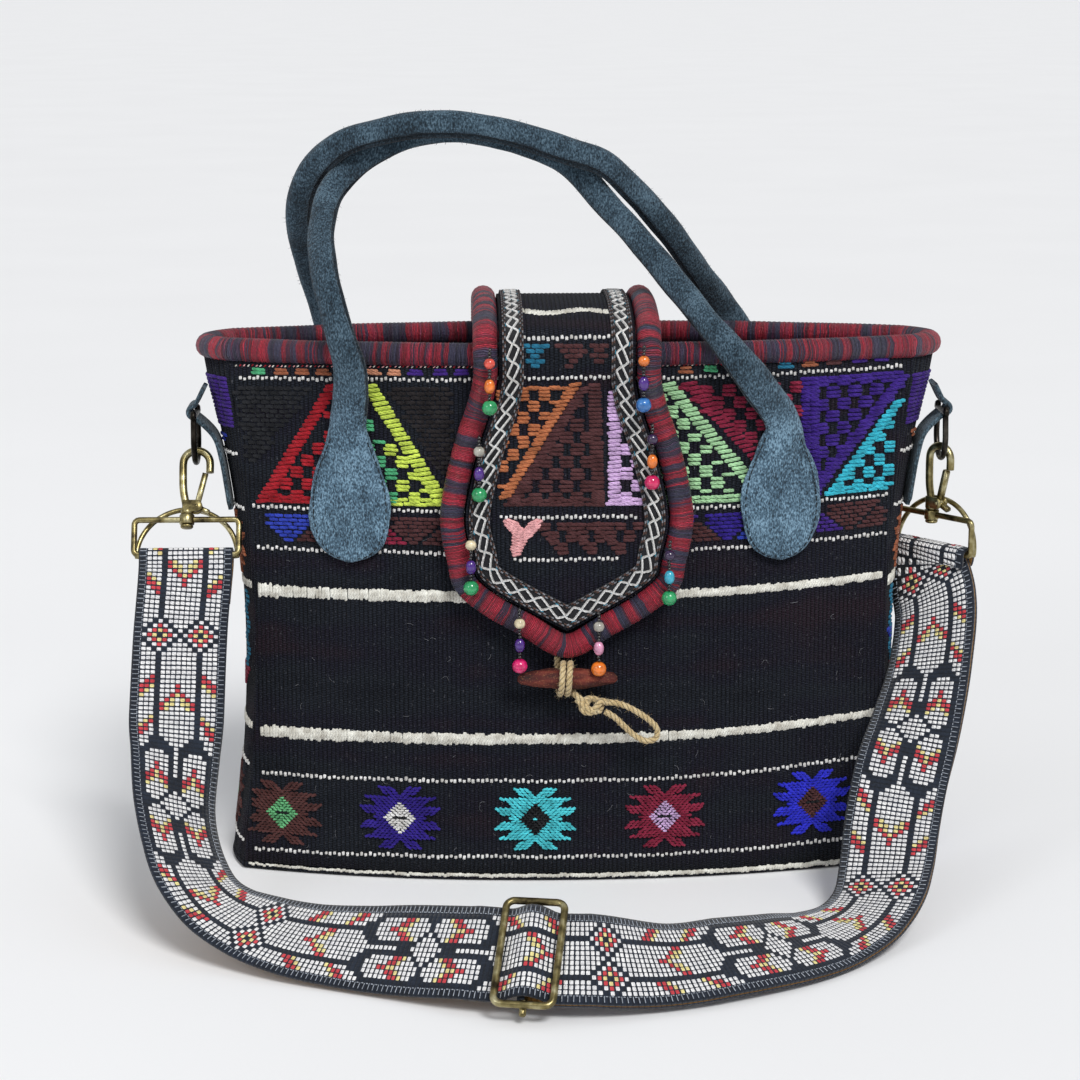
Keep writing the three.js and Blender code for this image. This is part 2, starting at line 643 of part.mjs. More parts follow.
function handleGeometry(leftPad, rightPad, arch, side) {
  const left = padPoints(leftPad, side);
  const right = padPoints(rightPad, side).reverse();
  const pads = PAD_STATIONS.length;
  const points = [...left, ...arch.map(([x, y, rise]) => vec(x, y, BODY_HEIGHT + rise)), ...right];
  const curve = new THREE.CatmullRomCurve3(points);
  const last = points.length - 1;
  const steps = 2 * last;
  const sides = 10;
  const tilt = Math.abs(faceDepth(PAD_HALF_SPAN + 10, PAD_BOTTOM) - faceDepth(PAD_HALF_SPAN - 10, PAD_BOTTOM)) / 20;
  const loops = [];
  for (let k = 0; k <= steps; k++) {
    const u = k / steps;
    const place = curve.getPoint(u);
    const tangent = curve.getTangent(u);
    const station = Math.min(u * last, last - u * last);
    const [half, thickness] = handleSection(station, pads);
    const facing = vec(tilt * place.x / PAD_HALF_SPAN, side, 0).normalize();
    const across = new THREE.Vector3().crossVectors(tangent, facing).normalize();
    const out = new THREE.Vector3().crossVectors(across, tangent).normalize();
    const loop = [];
    for (let s = 0; s < sides; s++) {
      const angle = 2 * Math.PI * s / sides;
      const point = place.clone().addScaledVector(across, half * Math.cos(angle));
      loop.push(point.addScaledVector(out, -thickness * Math.sin(angle)));
    }
    loops.push(loop);
  }
  return loopStack(loops);
}

// Half width and half thickness at a station counted from the nearer end
function handleSection(station, pads) {
  const k = Math.floor(station);
  const part = station - k;
  if (k >= pads - 1) {
    const settle = Math.min((station - pads + 1) / 3, 1);
    return [lerp(PAD_SHAPE[pads - 1] * PAD_HALF_WIDTH, HANDLE_HALF_WIDTH, settle), HANDLE_HALF_THICKNESS];
  }
  const share = lerp(PAD_STATIONS[k], PAD_STATIONS[k + 1], part);
  const thickness = lerp(PAD_HALF_THICKNESS, HANDLE_HALF_THICKNESS, Math.max(share - 0.6, 0) / 0.4);
  return [PAD_HALF_WIDTH * lerp(PAD_SHAPE[k], PAD_SHAPE[k + 1], part), thickness];
}

function addHandles() {
  const left = FRONT_MIDDLE - PAD_HALF_SPAN;
  const right = FRONT_MIDDLE + PAD_HALF_SPAN;
  addPart('front_handle', handleGeometry(left, right, FRONT_ARCH, -1), SUEDE);
  addPart('back_handle', handleGeometry(left, right, BACK_ARCH, 1), SUEDE);
}

// Closure: a spindle toggle with the flap's jute cord wound round it

const FRONT_AT_TOGGLE = -faceDepth(FRONT_MIDDLE, TOGGLE_HEIGHT);
const TOGGLE_AXIS = FRONT_AT_TOGGLE - FIT_GAP - WRAP_OUTER;

function addClosure() {
  const half = TOGGLE_LENGTH / 2;
  const profile = [[0, -half], [0.45, -half + 1], [0.75, -0.6 * half], [1, -0.3 * half], [1, 0.3 * half],
    [0.75, 0.6 * half], [0.45, half - 1], [0, half]];
  const spindle = new THREE.LatheGeometry(profile.map(([r, y]) => new THREE.Vector2(r * TOGGLE_RADIUS, y)), 12);
  const toggle = addPart('toggle', spindle.rotateZ(-Math.PI / 2), WOOD);
  toggle.position.set(FRONT_MIDDLE, TOGGLE_AXIS, TOGGLE_HEIGHT);
  const wrapRadius = TOGGLE_RADIUS + FIT_GAP + CORD_RADIUS;
  const wrap = addPart('closure_wrap', new THREE.LatheGeometry(coilSection(wrapRadius), 14), JUTE);
  wrap.geometry.rotateZ(-Math.PI / 2);
  wrap.position.copy(toggle.position);
  const knot = addPart('closure_knot', new THREE.IcosahedronGeometry(KNOT_RADIUS, 1), JUTE);
  knot.geometry.scale(1.5, 0.8, 0.9);
  knot.position.set(FRONT_MIDDLE + 12, TOGGLE_AXIS - 4, TOGGLE_HEIGHT - WRAP_OUTER - KNOT_RADIUS + 2);
  addLoop(knot.position);
}

function coilSection(radius) {
  const half = WRAP_WIDTH / 2;
  return [[radius - CORD_RADIUS, -half], [radius + CORD_RADIUS, -half], [radius + CORD_RADIUS, half],
    [radius - CORD_RADIUS, half], [radius - CORD_RADIUS, -half]].map(([r, y]) => new THREE.Vector2(r, y));
}

function addLoop(knot) {
  const start = knot.clone().add(vec(KNOT_RADIUS * 1.5 + CORD_RADIUS + FIT_GAP, 0, -2));
  const reach = [[0, 0, 2], [6, 0, 1.5], [14, 0, -3], [22, 0, -9], [23, 0, -14], [18, 0, -14], [9, 0, -9], [2, 0, -4]];
  const path = new THREE.CatmullRomCurve3(reach.map(([x, y, z]) => start.clone().add(vec(x, y, z))), true);
  addPart('closure_loop', ringOfWire(path, 36, CORD_RADIUS, 8), JUTE);
}

// Side hardware: a suede tab on each gusset holds a ring, and the strap's snap hook hangs in it

function tabGeometry() {
  const loopRadius = RING_WIRE + FIT_GAP;
  const bend = loopRadius + TAB_THICKNESS;
  const face = (z) => gussetFace(z) + FIT_GAP;
  const shape = new THREE.Shape();
  shape.moveTo(face(TAB_TOP), TAB_TOP);
  shape.lineTo(ringX, RING_TOP + bend);
  shape.absarc(ringX, RING_TOP, bend, Math.PI / 2, -Math.PI / 2, true);
  shape.lineTo(face(RING_TOP - 14) + TAB_THICKNESS, RING_TOP - 14);
  shape.lineTo(face(TAB_BOTTOM) + TAB_THICKNESS, TAB_BOTTOM);
  shape.lineTo(face(TAB_BOTTOM), TAB_BOTTOM);
  shape.lineTo(face(RING_TOP - 12), RING_TOP - 12);
  shape.lineTo(ringX, RING_TOP - loopRadius);
  shape.absarc(ringX, RING_TOP, loopRadius, -Math.PI / 2, Math.PI / 2, false);
  shape.lineTo(face(TAB_TOP - 5), TAB_TOP - 5);
  const solid = new THREE.ExtrudeGeometry(shape, { depth: TAB_WIDTH, curveSegments: 8, bevelEnabled: false });
  return solid.translate(0, 0, -TAB_WIDTH / 2).rotateX(Math.PI / 2);
}

// Ring in the YZ plane: a straight top inside the tab, with its centre at the origin, and a round bottom
function ringGeometry() {
  const corner = 2.5;
  const points = [];
  for (let k = 0; k <= 3; k++) {
    const angle = Math.PI / 2 * k / 3;
    points.push(vec(0, RING_HALF_WIDTH - corner * (1 - Math.sin(angle)), -corner * (1 - Math.cos(angle))));
  }
  for (let k = 0; k <= 8; k++) {
    const angle = Math.PI * k / 16;
    const drop = RING_HEIGHT - RING_HALF_WIDTH + RING_HALF_WIDTH * Math.sin(angle);
    points.push(vec(0, RING_HALF_WIDTH * Math.cos(angle), -drop));
  }
  const mirrored = points.slice(0, -1).reverse().map((p) => vec(0, -p.y, p.z));
  return ringOfWire(polyline([...points, ...mirrored]), 56, RING_WIRE, 8);
}

function hookGeometry() {
  const bowHeight = HOOK_HEIGHT - HOOK_RADIUS;
  const left = HOOK_OFFSET - HOOK_RADIUS;
  const line = [vec(0, 0, BOSS_HALF_HEIGHT + 1.5), vec(-0.6, 0, 8), vec(left + 0.4, 0, 16), vec(left, 0, 24)];
  for (let k = 0; k <= 6; k++) {
    const angle = Math.PI * (1 - k / 6);
    line.push(vec(HOOK_OFFSET + HOOK_RADIUS * Math.cos(angle), 0, bowHeight + HOOK_RADIUS * Math.sin(angle)));
  }
  line.push(vec(HOOK_OFFSET + HOOK_RADIUS, 0, GATE_TIP[1] + 1));
  const wire = openTube(line, HOOK_WIRE, 30, 8);
  const shoulder = cylinder(HEAD_RADIUS, 2.4).rotateX(Math.PI / 2).translate(0, 0, BOSS_HALF_HEIGHT + FIT_GAP + 1.2);
  const headTop = -BOSS_HALF_HEIGHT - FIT_GAP;
  const stemLength = BOSS_HALF_HEIGHT + 2 - headTop + HEAD_THICKNESS / 2;
  const stem = cylinder(STEM_RADIUS, stemLength).rotateX(Math.PI / 2);
  stem.translate(0, 0, BOSS_HALF_HEIGHT + 2 - stemLength / 2);
  const head = cylinder(HEAD_RADIUS, HEAD_THICKNESS).rotateX(Math.PI / 2).translate(0, 0, headTop - HEAD_THICKNESS / 2);
  const lugDepth = GATE_HALF_DEPTH + FIT_GAP + LUG_THICKNESS / 2;
  const lugs = [-1, 1].map((side) => lugGeometry(side * lugDepth));
  const web = new THREE.BoxGeometry(3, 2 * lugDepth, 6).translate(-1, 0, 6);
  const pinHole = cylinder(PIN_RADIUS + PIN_PLAY, 20).translate(GATE_PIVOT[0], 0, GATE_PIVOT[1]);
  return fromManifold(join(wire, shoulder, stem, head, web, ...lugs).subtract(toManifold(pinHole)));
}

function lugGeometry(depth) {
  const [x, z] = GATE_PIVOT;
  const shape = new THREE.Shape();
  shape.moveTo(-2.2, BOSS_HALF_HEIGHT + FIT_GAP + 1);
  shape.lineTo(x, z - LUG_RADIUS);
  shape.absarc(x, z, LUG_RADIUS, -Math.PI / 2, Math.PI / 2, false);
  shape.lineTo(-2.2, z + LUG_RADIUS);
  const plate = new THREE.ExtrudeGeometry(shape, { depth: LUG_THICKNESS, curveSegments: 8, bevelEnabled: false });
  return plate.translate(0, 0, -LUG_THICKNESS / 2).rotateX(Math.PI / 2).translate(0, depth, 0);
}

// Gate: a lever from its pivot to the hook's tip, with a thumb piece on the far side
function gateGeometry() {
  const [x, z] = GATE_PIVOT;
  const length = Math.hypot(GATE_TIP[0] - x, GATE_TIP[1] - z);
  const lean = Math.atan2(GATE_TIP[0] - x, GATE_TIP[1] - z);
  const eye = cylinder(PIN_RADIUS + 1.4, 2 * GATE_HALF_DEPTH);
  const bar = new THREE.BoxGeometry(2 * GATE_HALF_WIDTH, 2 * GATE_HALF_DEPTH, length).translate(0, 0, length / 2);
  const thumb = new THREE.BoxGeometry(7, 2 * GATE_HALF_DEPTH, 2.6).translate(4.4, 0, 0).rotateY(0.45);
  const solid = join(eye, bar.rotateY(lean), thumb).subtract(toManifold(cylinder(PIN_RADIUS + PIN_PLAY, 20)));
  return fromManifold(solid).translate(x, 0, z);
}

// Rectangular strap loop with the boss that the hook's stem turns in
function swivelLoopGeometry() {
  const corner = 2.5;
  const wide = LOOP_HALF_WIDTH;
  const points = [];
  const corners = [[wide, 0, 0], [-wide, 0, 1], [-wide, -LOOP_DROP, 2], [wide, -LOOP_DROP, 3]];
  for (const [x, z, turn] of corners) {
    const centre = [x - Math.sign(x) * corner, z + (z < 0 ? corner : -corner)];
    for (let k = 0; k <= 2; k++) {
      const angle = Math.PI / 2 * (turn + k / 2);
      points.push(vec(centre[0] + corner * Math.cos(angle), 0, centre[1] + corner * Math.sin(angle)));
    }
  }
  const frame = ringOfWire(polyline(points), 3 * points.length, LOOP_WIRE, 8);
  const upright = (radius, length) => cylinder(radius, length).rotateX(Math.PI / 2);
  const boss = upright(BOSS_RADIUS, 2 * BOSS_HALF_HEIGHT);
  return fromManifold(join(frame, boss).subtract(toManifold(upright(STEM_RADIUS + STEM_PLAY, 20))));
}

// Closed path through points with straight stretches between them
function polyline(points) {
  const path = new THREE.CurvePath();
  points.forEach((point, k) => path.add(new THREE.LineCurve3(point, points[(k + 1) % points.length])));
  return path;
}

// D-ring with its straight bar through the origin, along X
function dRingGeometry() {
  const points = [];
  for (let k = 0; k <= 14; k++) {
    const angle = Math.PI * k / 14;
    points.push(vec(D_RING_HALF_WIDTH * Math.cos(angle), 0, D_RING_HEIGHT * Math.sin(angle)));
  }
  return ringOfWire(polyline(points), 44, D_RING_WIRE, 8);
}

const loopLevel = RING_TOP - RING_HEIGHT - HOOK_HEIGHT;
const ringX = Math.max(gussetFace(RING_TOP) + FIT_GAP + RING_REACH, gussetFace(loopLevel) + LOOP_REACH);
const hookReach = HOOK_HEIGHT - HOOK_RING_PLAY - RING_WIRE - HOOK_WIRE;

// Frame of each hook: the ring's lower wire passes under the hook's bow
const SIDES = { left: hookFrame(-1, 0, LEFT_HOOK_LEAN), right: hookFrame(1, RIGHT_HOOK_TURN, 0) };

function hookFrame(sign, turn, lean) {
  const radians = THREE.MathUtils.degToRad;
  const rotation = new THREE.Euler(-radians(lean), 0, radians(turn), 'ZXY');
  const [across, back, up] = [vec(1, 0, 0), vec(0, 1, 0), vec(0, 0, 1)].map((axis) => axis.applyEuler(rotation));
  const post = vec(sign * ringX, -TAB_FORWARD, RING_TOP - RING_HEIGHT);
  post.addScaledVector(across, -HOOK_OFFSET).addScaledVector(up, -hookReach);
  const bar = post.clone().addScaledVector(up, -LOOP_DROP);
  return { sign, rotation, across, up, front: back.negate(), post, bar };
}

function addSide(name, { sign, rotation, post }) {
  const tab = addPart(`${name}_tab`, tabGeometry(), SUEDE);
  tab.rotation.z = sign > 0 ? 0 : Math.PI;
  tab.position.y = -TAB_FORWARD;
  const ring = addPart(`${name}_ring`, ringGeometry(), GUNMETAL);
  ring.position.set(sign * ringX, -TAB_FORWARD, RING_TOP);
  const hook = new THREE.Group();
  hook.position.copy(post);
  hook.rotation.copy(rotation);
  bag.add(hook);
  addPart(`${name}_hook_body`, hookGeometry(), BRASS, hook);
  addPart(`${name}_hook_gate`, gateGeometry(), BRASS, hook);
  const pinLength = 2 * (GATE_HALF_DEPTH + FIT_GAP + LUG_THICKNESS) + 0.6;
  const pin = addPart(`${name}_gate_pin`, cylinder(PIN_RADIUS, pinLength), BRASS, hook);
  pin.position.set(GATE_PIVOT[0], 0, GATE_PIVOT[1]);
  addPart(`${name}_swivel_loop`, swivelLoopGeometry(), BRASS, hook);
  const dRing = addPart(`${name}_d_ring`, dRingGeometry(), BRASS, hook);
  dRing.position.set(0, D_RING_SETBACK, -LOOP_DROP);
  dRing.rotation.x = -THREE.MathUtils.degToRad(D_RING_LEAN);
}

// Shoulder strap: one webbing, sewn round the left loop, through the slider, round the right loop
// and back to the slider's bar.

// First two rows of the strap at a loop: in front of its bar, then a little way down
function strapEnd({ bar, front, up, across }, direction) {
  const top = bar.clone().addScaledVector(front, LOOP_BEND);
  const below = top.clone().addScaledVector(up, -STRAP_STRAIGHT);
  return [top, below].map((place) => [...place.toArray(), ...across.clone().multiplyScalar(direction).toArray()]);
}

function strapFrames() {
  const start = strapEnd(SIDES.left, 1);
  const finishRows = strapEnd(SIDES.right, -1).reverse();
  const rows = [...start, ...STRAP_ROUTE, ...finishRows];
  const middle = new THREE.CatmullRomCurve3(rows.map(([x, y, z]) => vec(x, y, z)));
  const across = new THREE.CatmullRomCurve3(rows.map((row) => vec(row[3], row[4], row[5])));
  return (u) => {
    const place = middle.getPoint(u);
    const along = middle.getTangent(u);
    const width = across.getPoint(u);
    width.addScaledVector(along, -width.dot(along)).normalize();
    return { place, along, width, face: new THREE.Vector3().crossVectors(along, width) };
  };
}

function arcStations(centre, from, over, width, radius, turn, steps) {
  const stations = [];
  for (let k = 0; k <= steps; k++) {
    const angle = turn * k / steps;
    const face = from.clone().multiplyScalar(Math.cos(angle)).addScaledVector(over, Math.sin(angle));
    stations.push({ place: centre.clone().addScaledVector(face, radius), width, face });
  }
  return stations;
}

// How far the strap rises over the slider's bar at a distance along the strap from it
function sliderRise(distance) {
  const hump = SLIDER_BAR_DEPTH + 2 * (SLIDER_BAR_RADIUS + FIT_GAP) + STRAP_THICKNESS * 1.5;
  const under = -(SLIDER_WIRE + FIT_GAP + STRAP_THICKNESS / 2);
  const share = Math.min(Math.abs(distance) / SLIDER_HALF_LENGTH, 1);
  const settle = Math.max(1 - (Math.abs(distance) - SLIDER_HALF_LENGTH) / 16, 0);
  return lerp(hump, under, (1 - Math.cos(Math.PI * share)) / 2) * Math.min(settle, 1);
}

const SLIDER_BAR_DEPTH = -(SLIDER_WIRE + SLIDER_BAR_RADIUS + FIT_GAP);
const WRAP_RADIUS = SLIDER_BAR_RADIUS + FIT_GAP + STRAP_THICKNESS / 2;
const SLIDER_SHARE = (SLIDER_STATION + 2) / (STRAP_ROUTE.length + 3);
const LOOP_BEND = LOOP_WIRE + FIT_GAP + STRAP_THICKNESS / 2;
const D_RING_BEND = D_RING_WIRE + 2 * FIT_GAP + STRAP_THICKNESS / 2;

function shifted({ place, width, face }, out) {
  return { place: place.clone().addScaledVector(face, out), width, face };
}

// Over the loop's bar and down behind the D-ring's bar
function endFold({ bar, front, up }, width) {
  const dBar = bar.clone().addScaledVector(front, -D_RING_SETBACK);
  const quarter = Math.PI / 2;
  const over = arcStations(bar, front, up, width, LOOP_BEND, quarter, 4).slice(1);
  const down = arcStations(dBar, up, front.clone().negate(), width, D_RING_BEND, quarter, 4).slice(0, -1);
  return [...over, ...down];
}

function strapStations() {
  const frame = strapFrames();
  const steps = 108;
  const slider = frame(SLIDER_SHARE);
  const upper = [];
  for (let k = 0; k <= steps; k++) {
    const station = frame(k / steps);
    const distance = station.place.distanceTo(slider.place) * Math.sign(k / steps - SLIDER_SHARE);
    upper.push({ ...shifted(station, sliderRise(distance)), distance });
  }
  const widest = LOOP_BEND + D_RING_SETBACK + D_RING_BEND;
  const spread = (from) => (s) => STRAP_LAYER + (widest - STRAP_LAYER) * Math.exp(-((s.place.distanceTo(from) / STRAP_STRAIGHT) ** 2));
  const behind = (s, gap) => ({ place: s.place.clone().addScaledVector(s.face, -gap), width: s.width,
    face: s.face.clone().negate() });
  const first = upper[0];
  const last = upper[steps];
  const tucked = upper.filter((s) => s.place.distanceTo(first.place) < STRAP_TUCK).reverse();
  const leftGap = spread(first.place);
  const rightGap = spread(last.place);
  const leftArc = endFold(SIDES.left, first.width).reverse();
  const rightArc = endFold(SIDES.right, last.width);
  const back = upper.filter((s) => s.distance > SLIDER_HALF_LENGTH + 4).reverse();
  const bar = slider.place.clone().addScaledVector(slider.face, SLIDER_BAR_DEPTH);
  const wrap = arcStations(bar, slider.face.clone().negate(), slider.along.clone().negate(), slider.width,
    WRAP_RADIUS, Math.PI * 1.05, 8);
  return [
    ...tucked.map((s) => behind(s, leftGap(s))), ...leftArc, ...upper, ...rightArc,
    ...back.map((s) => behind(s, rightGap(s))), ...wrap,
  ];
}

function ribbonGeometry(stations, width, thickness) {
  const loops = stations.map(({ place, width: across, face }) => {
    const corner = (w, f) => place.clone().addScaledVector(across, w * width / 2).addScaledVector(face, f * thickness / 2);
    return [corner(-1, -1), corner(1, -1), corner(1, 1), corner(-1, 1)];
  });
  return loopStack(loops);
}

function addStrap() {
  addPart('shoulder_strap', ribbonGeometry(strapStations(), STRAP_WIDTH, STRAP_THICKNESS), WEBBING);
  const { place, along, width, face } = strapFrames()(SLIDER_SHARE);
  const slider = new THREE.Group();
  slider.matrixAutoUpdate = false;
  slider.matrix.makeBasis(along, width, face).setPosition(place);
  bag.add(slider);
  const corner = 4;
  const points = [];
  for (const [sx, sy, turn] of [[1, 1, 0], [-1, 1, 1], [-1, -1, 2], [1, -1, 3]]) {
    for (let k = 0; k <= 3; k++) {
      const angle = Math.PI / 2 * (turn + k / 3);
      points.push(vec(sx * (SLIDER_HALF_LENGTH - corner) + corner * Math.cos(angle),
        sy * (SLIDER_HALF_WIDTH - corner) + corner * Math.sin(angle), 0));
    }
  }
  addPart('slider_frame', ringOfWire(polyline(points), 3 * points.length, SLIDER_WIRE, 8), BRASS, slider);
  const barLength = 2 * (SLIDER_HALF_WIDTH + SLIDER_BAR_END);
  const bar = addPart('slider_bar', cylinder(SLIDER_BAR_RADIUS, barLength, 12), BRASS, slider);
  bar.position.z = SLIDER_BAR_DEPTH;
}

addBody();
addFlap();
addBeadStrands();
addHandles();
addClosure();
for (const [name, side] of Object.entries(SIDES)) addSide(name, side);
addStrap();

export default bag;
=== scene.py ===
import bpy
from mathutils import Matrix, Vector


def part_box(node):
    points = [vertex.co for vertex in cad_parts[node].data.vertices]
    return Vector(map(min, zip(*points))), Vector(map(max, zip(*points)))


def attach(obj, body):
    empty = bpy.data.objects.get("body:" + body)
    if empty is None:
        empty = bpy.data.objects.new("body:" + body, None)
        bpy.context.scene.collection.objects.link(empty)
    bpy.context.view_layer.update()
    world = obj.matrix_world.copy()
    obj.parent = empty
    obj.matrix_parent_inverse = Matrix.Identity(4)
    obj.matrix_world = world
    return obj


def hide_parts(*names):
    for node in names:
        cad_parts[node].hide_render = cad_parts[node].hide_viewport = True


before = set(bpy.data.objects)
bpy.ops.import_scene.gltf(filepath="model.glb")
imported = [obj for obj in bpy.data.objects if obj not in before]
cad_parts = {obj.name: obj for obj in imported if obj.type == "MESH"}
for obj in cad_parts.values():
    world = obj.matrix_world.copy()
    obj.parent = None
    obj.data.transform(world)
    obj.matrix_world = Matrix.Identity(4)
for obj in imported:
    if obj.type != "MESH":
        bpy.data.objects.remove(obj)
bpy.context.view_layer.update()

import math

import bpy
import numpy as np
from mathutils import Vector

# Shapes are written in millimetres, in the frame of the part, and go to Blender in metres.
MM = 0.001
rng = np.random.default_rng(11)

# Bag body
BODY_HEIGHT = 272.0
CLOTH = 3.5
LINING = 1.5
GAP = 0.3
TOP_HALF_DEPTH = 46.0
PANEL_BOTTOM = 4.3
PANEL_ROWS = 22
PANEL_RIBS, GUSSET_RIBS = 152, 24
EDGE_MARGIN = 0.2              # between a panel's edge and the crease
RIM_RADIUS = 8.5
RIM_HEIGHT = BODY_HEIGHT + GAP + RIM_RADIUS
ROLL_RADIUS = 6.4              # of the yarn roll that is seen at the rim
CLOTH_TOP = 277.0              # cloth and lining end inside that roll
FRONT_MIDDLE = -4.0
STRIPE_PITCH = 1.55            # floats of a cream stripe
RIB = 2.3                      # width of one rib of the weave
WEFT = 1.3                     # length of one bead of the weft
THREAD_PITCH = 0.75            # threads wound on the piping
COIL = 2.4                     # ridge of a few such threads

# Flap
FLAP_CLOTH = 4.0
FLAP_LINING = 1.2
FLAP_PIPING = 6.5
FLAP_STANDOFF = FLAP_PIPING + 2 * GAP
FLAP_CROWN = 303.0
FLAP_TIP = 130.7
TRIM_WIDTH = 11.0
TRIM_COLUMNS = 8
TRIM_PERIOD = 18.6             # of the lattice: two of its diamonds

# Toggle and cord
TOGGLE = np.array([-4.0, -67.73, 114.0])
TOGGLE_RADIUS, TOGGLE_HALF_LENGTH = 6.0, 26.0
CORD_RADIUS = 1.6
PLIES = 3
PLY_LAY = 9.0                  # length of one turn of the plies
CORD_STEP = 0.45
WIND_RADIUS = 8.0

# Shoulder strap
STRAP_WIDTH = 49.0
STRAP_THICKNESS = 1.6
SLIDER_HALF_LENGTH = 14.0


# Small mathematics

def lerp(a, b, t):
    return a + (b - a) * t


def unit(v):
    v = np.asarray(v, float)
    return v / np.maximum(np.linalg.norm(v, axis=-1, keepdims=True), 1e-9)


def distances(points):
    """Distance of each point along a line of points"""
    return np.concatenate([[0], np.cumsum(np.linalg.norm(np.diff(points, axis=0), axis=1))])


class Route:
    """Smooth curve through points (centripetal Catmull-Rom)"""

    def __init__(self, points, closed=False):
        p = np.asarray(points, float)
        if closed:
            p = np.vstack([p[-1], p, p[0], p[1]])
        else:
            p = np.vstack([2 * p[0] - p[1], p, 2 * p[-1] - p[-2]])
        x0, x1, x2, x3 = p[:-3], p[1:-2], p[2:-1], p[3:]
        chords = ((x0, x1), (x1, x2), (x2, x3))
        dt0, dt1, dt2 = [np.sqrt(np.linalg.norm(b - a, axis=1))[:, None] for a, b in chords]
        dt1 = np.where(dt1 < 1e-4, 1.0, dt1)
        dt0 = np.where(dt0 < 1e-4, dt1, dt0)
        dt2 = np.where(dt2 < 1e-4, dt1, dt2)
        t1 = ((x1 - x0) / dt0 - (x2 - x0) / (dt0 + dt1) + (x2 - x1) / dt1) * dt1
        t2 = ((x2 - x1) / dt1 - (x3 - x1) / (dt1 + dt2) + (x3 - x2) / dt2) * dt1
        self.terms = (x1, t1, 3 * (x2 - x1) - 2 * t1 - t2, 2 * (x1 - x2) + t1 + t2)
        self.spans = len(x1)
        fine = np.linspace(0, 1, 60 * self.spans + 1)
        self.fine = fine
        self.reach = distances(self.at(fine))
        self.length = self.reach[-1]

    def at(self, u):
        u = np.atleast_1d(np.asarray(u, float))
        p = np.clip(u, 0, 1) * self.spans
        i = np.minimum(p.astype(int), self.spans - 1)
        w = (p - i)[:, None]
        a, b, c, d = [term[i] for term in self.terms]
        return a + w * (b + w * (c + w * d))

    def share(self, s):
        """Parameter at a share of the curve's length"""
        return np.interp(np.asarray(s) * self.length, self.reach, self.fine)

    def even(self, count):
        return self.at(self.share(np.linspace(0, 1, count)))

    def tangent(self, u):
        u = np.atleast_1d(np.asarray(u, float))
        return unit(self.at(np.minimum(u + 1e-4, 1)) - self.at(np.maximum(u - 1e-4, 0)))


def frames_along(points, closed=False):
    """Tangent and two normals at each point, carried along with no twist"""
    p = np.asarray(points, float)
    if closed:
        tangent = unit(np.roll(p, -1, 0) - np.roll(p, 1, 0))
    else:
        tangent = unit(np.gradient(p, axis=0))
    normal = np.zeros_like(p)
    seed = np.array([0.0, 0.0, 1.0])
    if abs(seed @ tangent[0]) > 0.95:
        seed = np.array([1.0, 0.0, 0.0])
    normal[0] = unit(seed - (seed @ tangent[0]) * tangent[0])
    for k in range(1, len(p)):
        n = normal[k - 1] - (normal[k - 1] @ tangent[k]) * tangent[k]
        normal[k] = unit(n)
    if closed:
        last = normal[-1] - (normal[-1] @ tangent[0]) * tangent[0]
        twist = math.atan2(np.cross(last, normal[0]) @ tangent[0], last @ normal[0])
        angle = twist * np.arange(len(p)) / len(p)
        side = np.cross(tangent, normal)
        normal = normal * np.cos(angle)[:, None] + side * np.sin(angle)[:, None]
    return tangent, normal, np.cross(tangent, normal)


# Shape of the bag

def crease_half_width(share):
    return 169 + (lerp(178.0, 181.0, share) - 169) * (2 * share - 1) ** 2


def half_depth(share):
    return lerp(60.0, TOP_HALF_DEPTH, share ** 2)


def crease_depth(share):
    return lerp(34.0, 20.0, share)


def end_bulge(share):
    return lerp(8.0, 14.0, share) - 16 * share * (1 - share)


def face_depth(x, z):
    share = np.clip(np.asarray(z, float) / BODY_HEIGHT, 0, 1)
    across = np.minimum(np.abs(x) / crease_half_width(share), 1)
    return lerp(half_depth(share), crease_depth(share), across ** 2.2)


def front_surface(u, v):
    return np.stack([u, -face_depth(u, v), v], -1)


def back_surface(u, v):
    return np.stack([-u, face_depth(u, v), v], -1)


def gusset_surface(side):
    def surface(u, v):
        share = np.clip(v / BODY_HEIGHT, 0, 1)
        along = np.clip(u / crease_depth(share), -1, 1)
        x = crease_half_width(share) + end_bulge(share) * (1 - along ** 2)
        return np.stack([side * x, side * u, v], -1)
    return surface


def surface_normal(surface, u, v):
    du = surface(u + 0.4, v) - surface(u - 0.4, v)
    dv = surface(u, v + 0.4) - surface(u, v - 0.4)
    return unit(np.cross(du, dv))


# Meshes and pieces

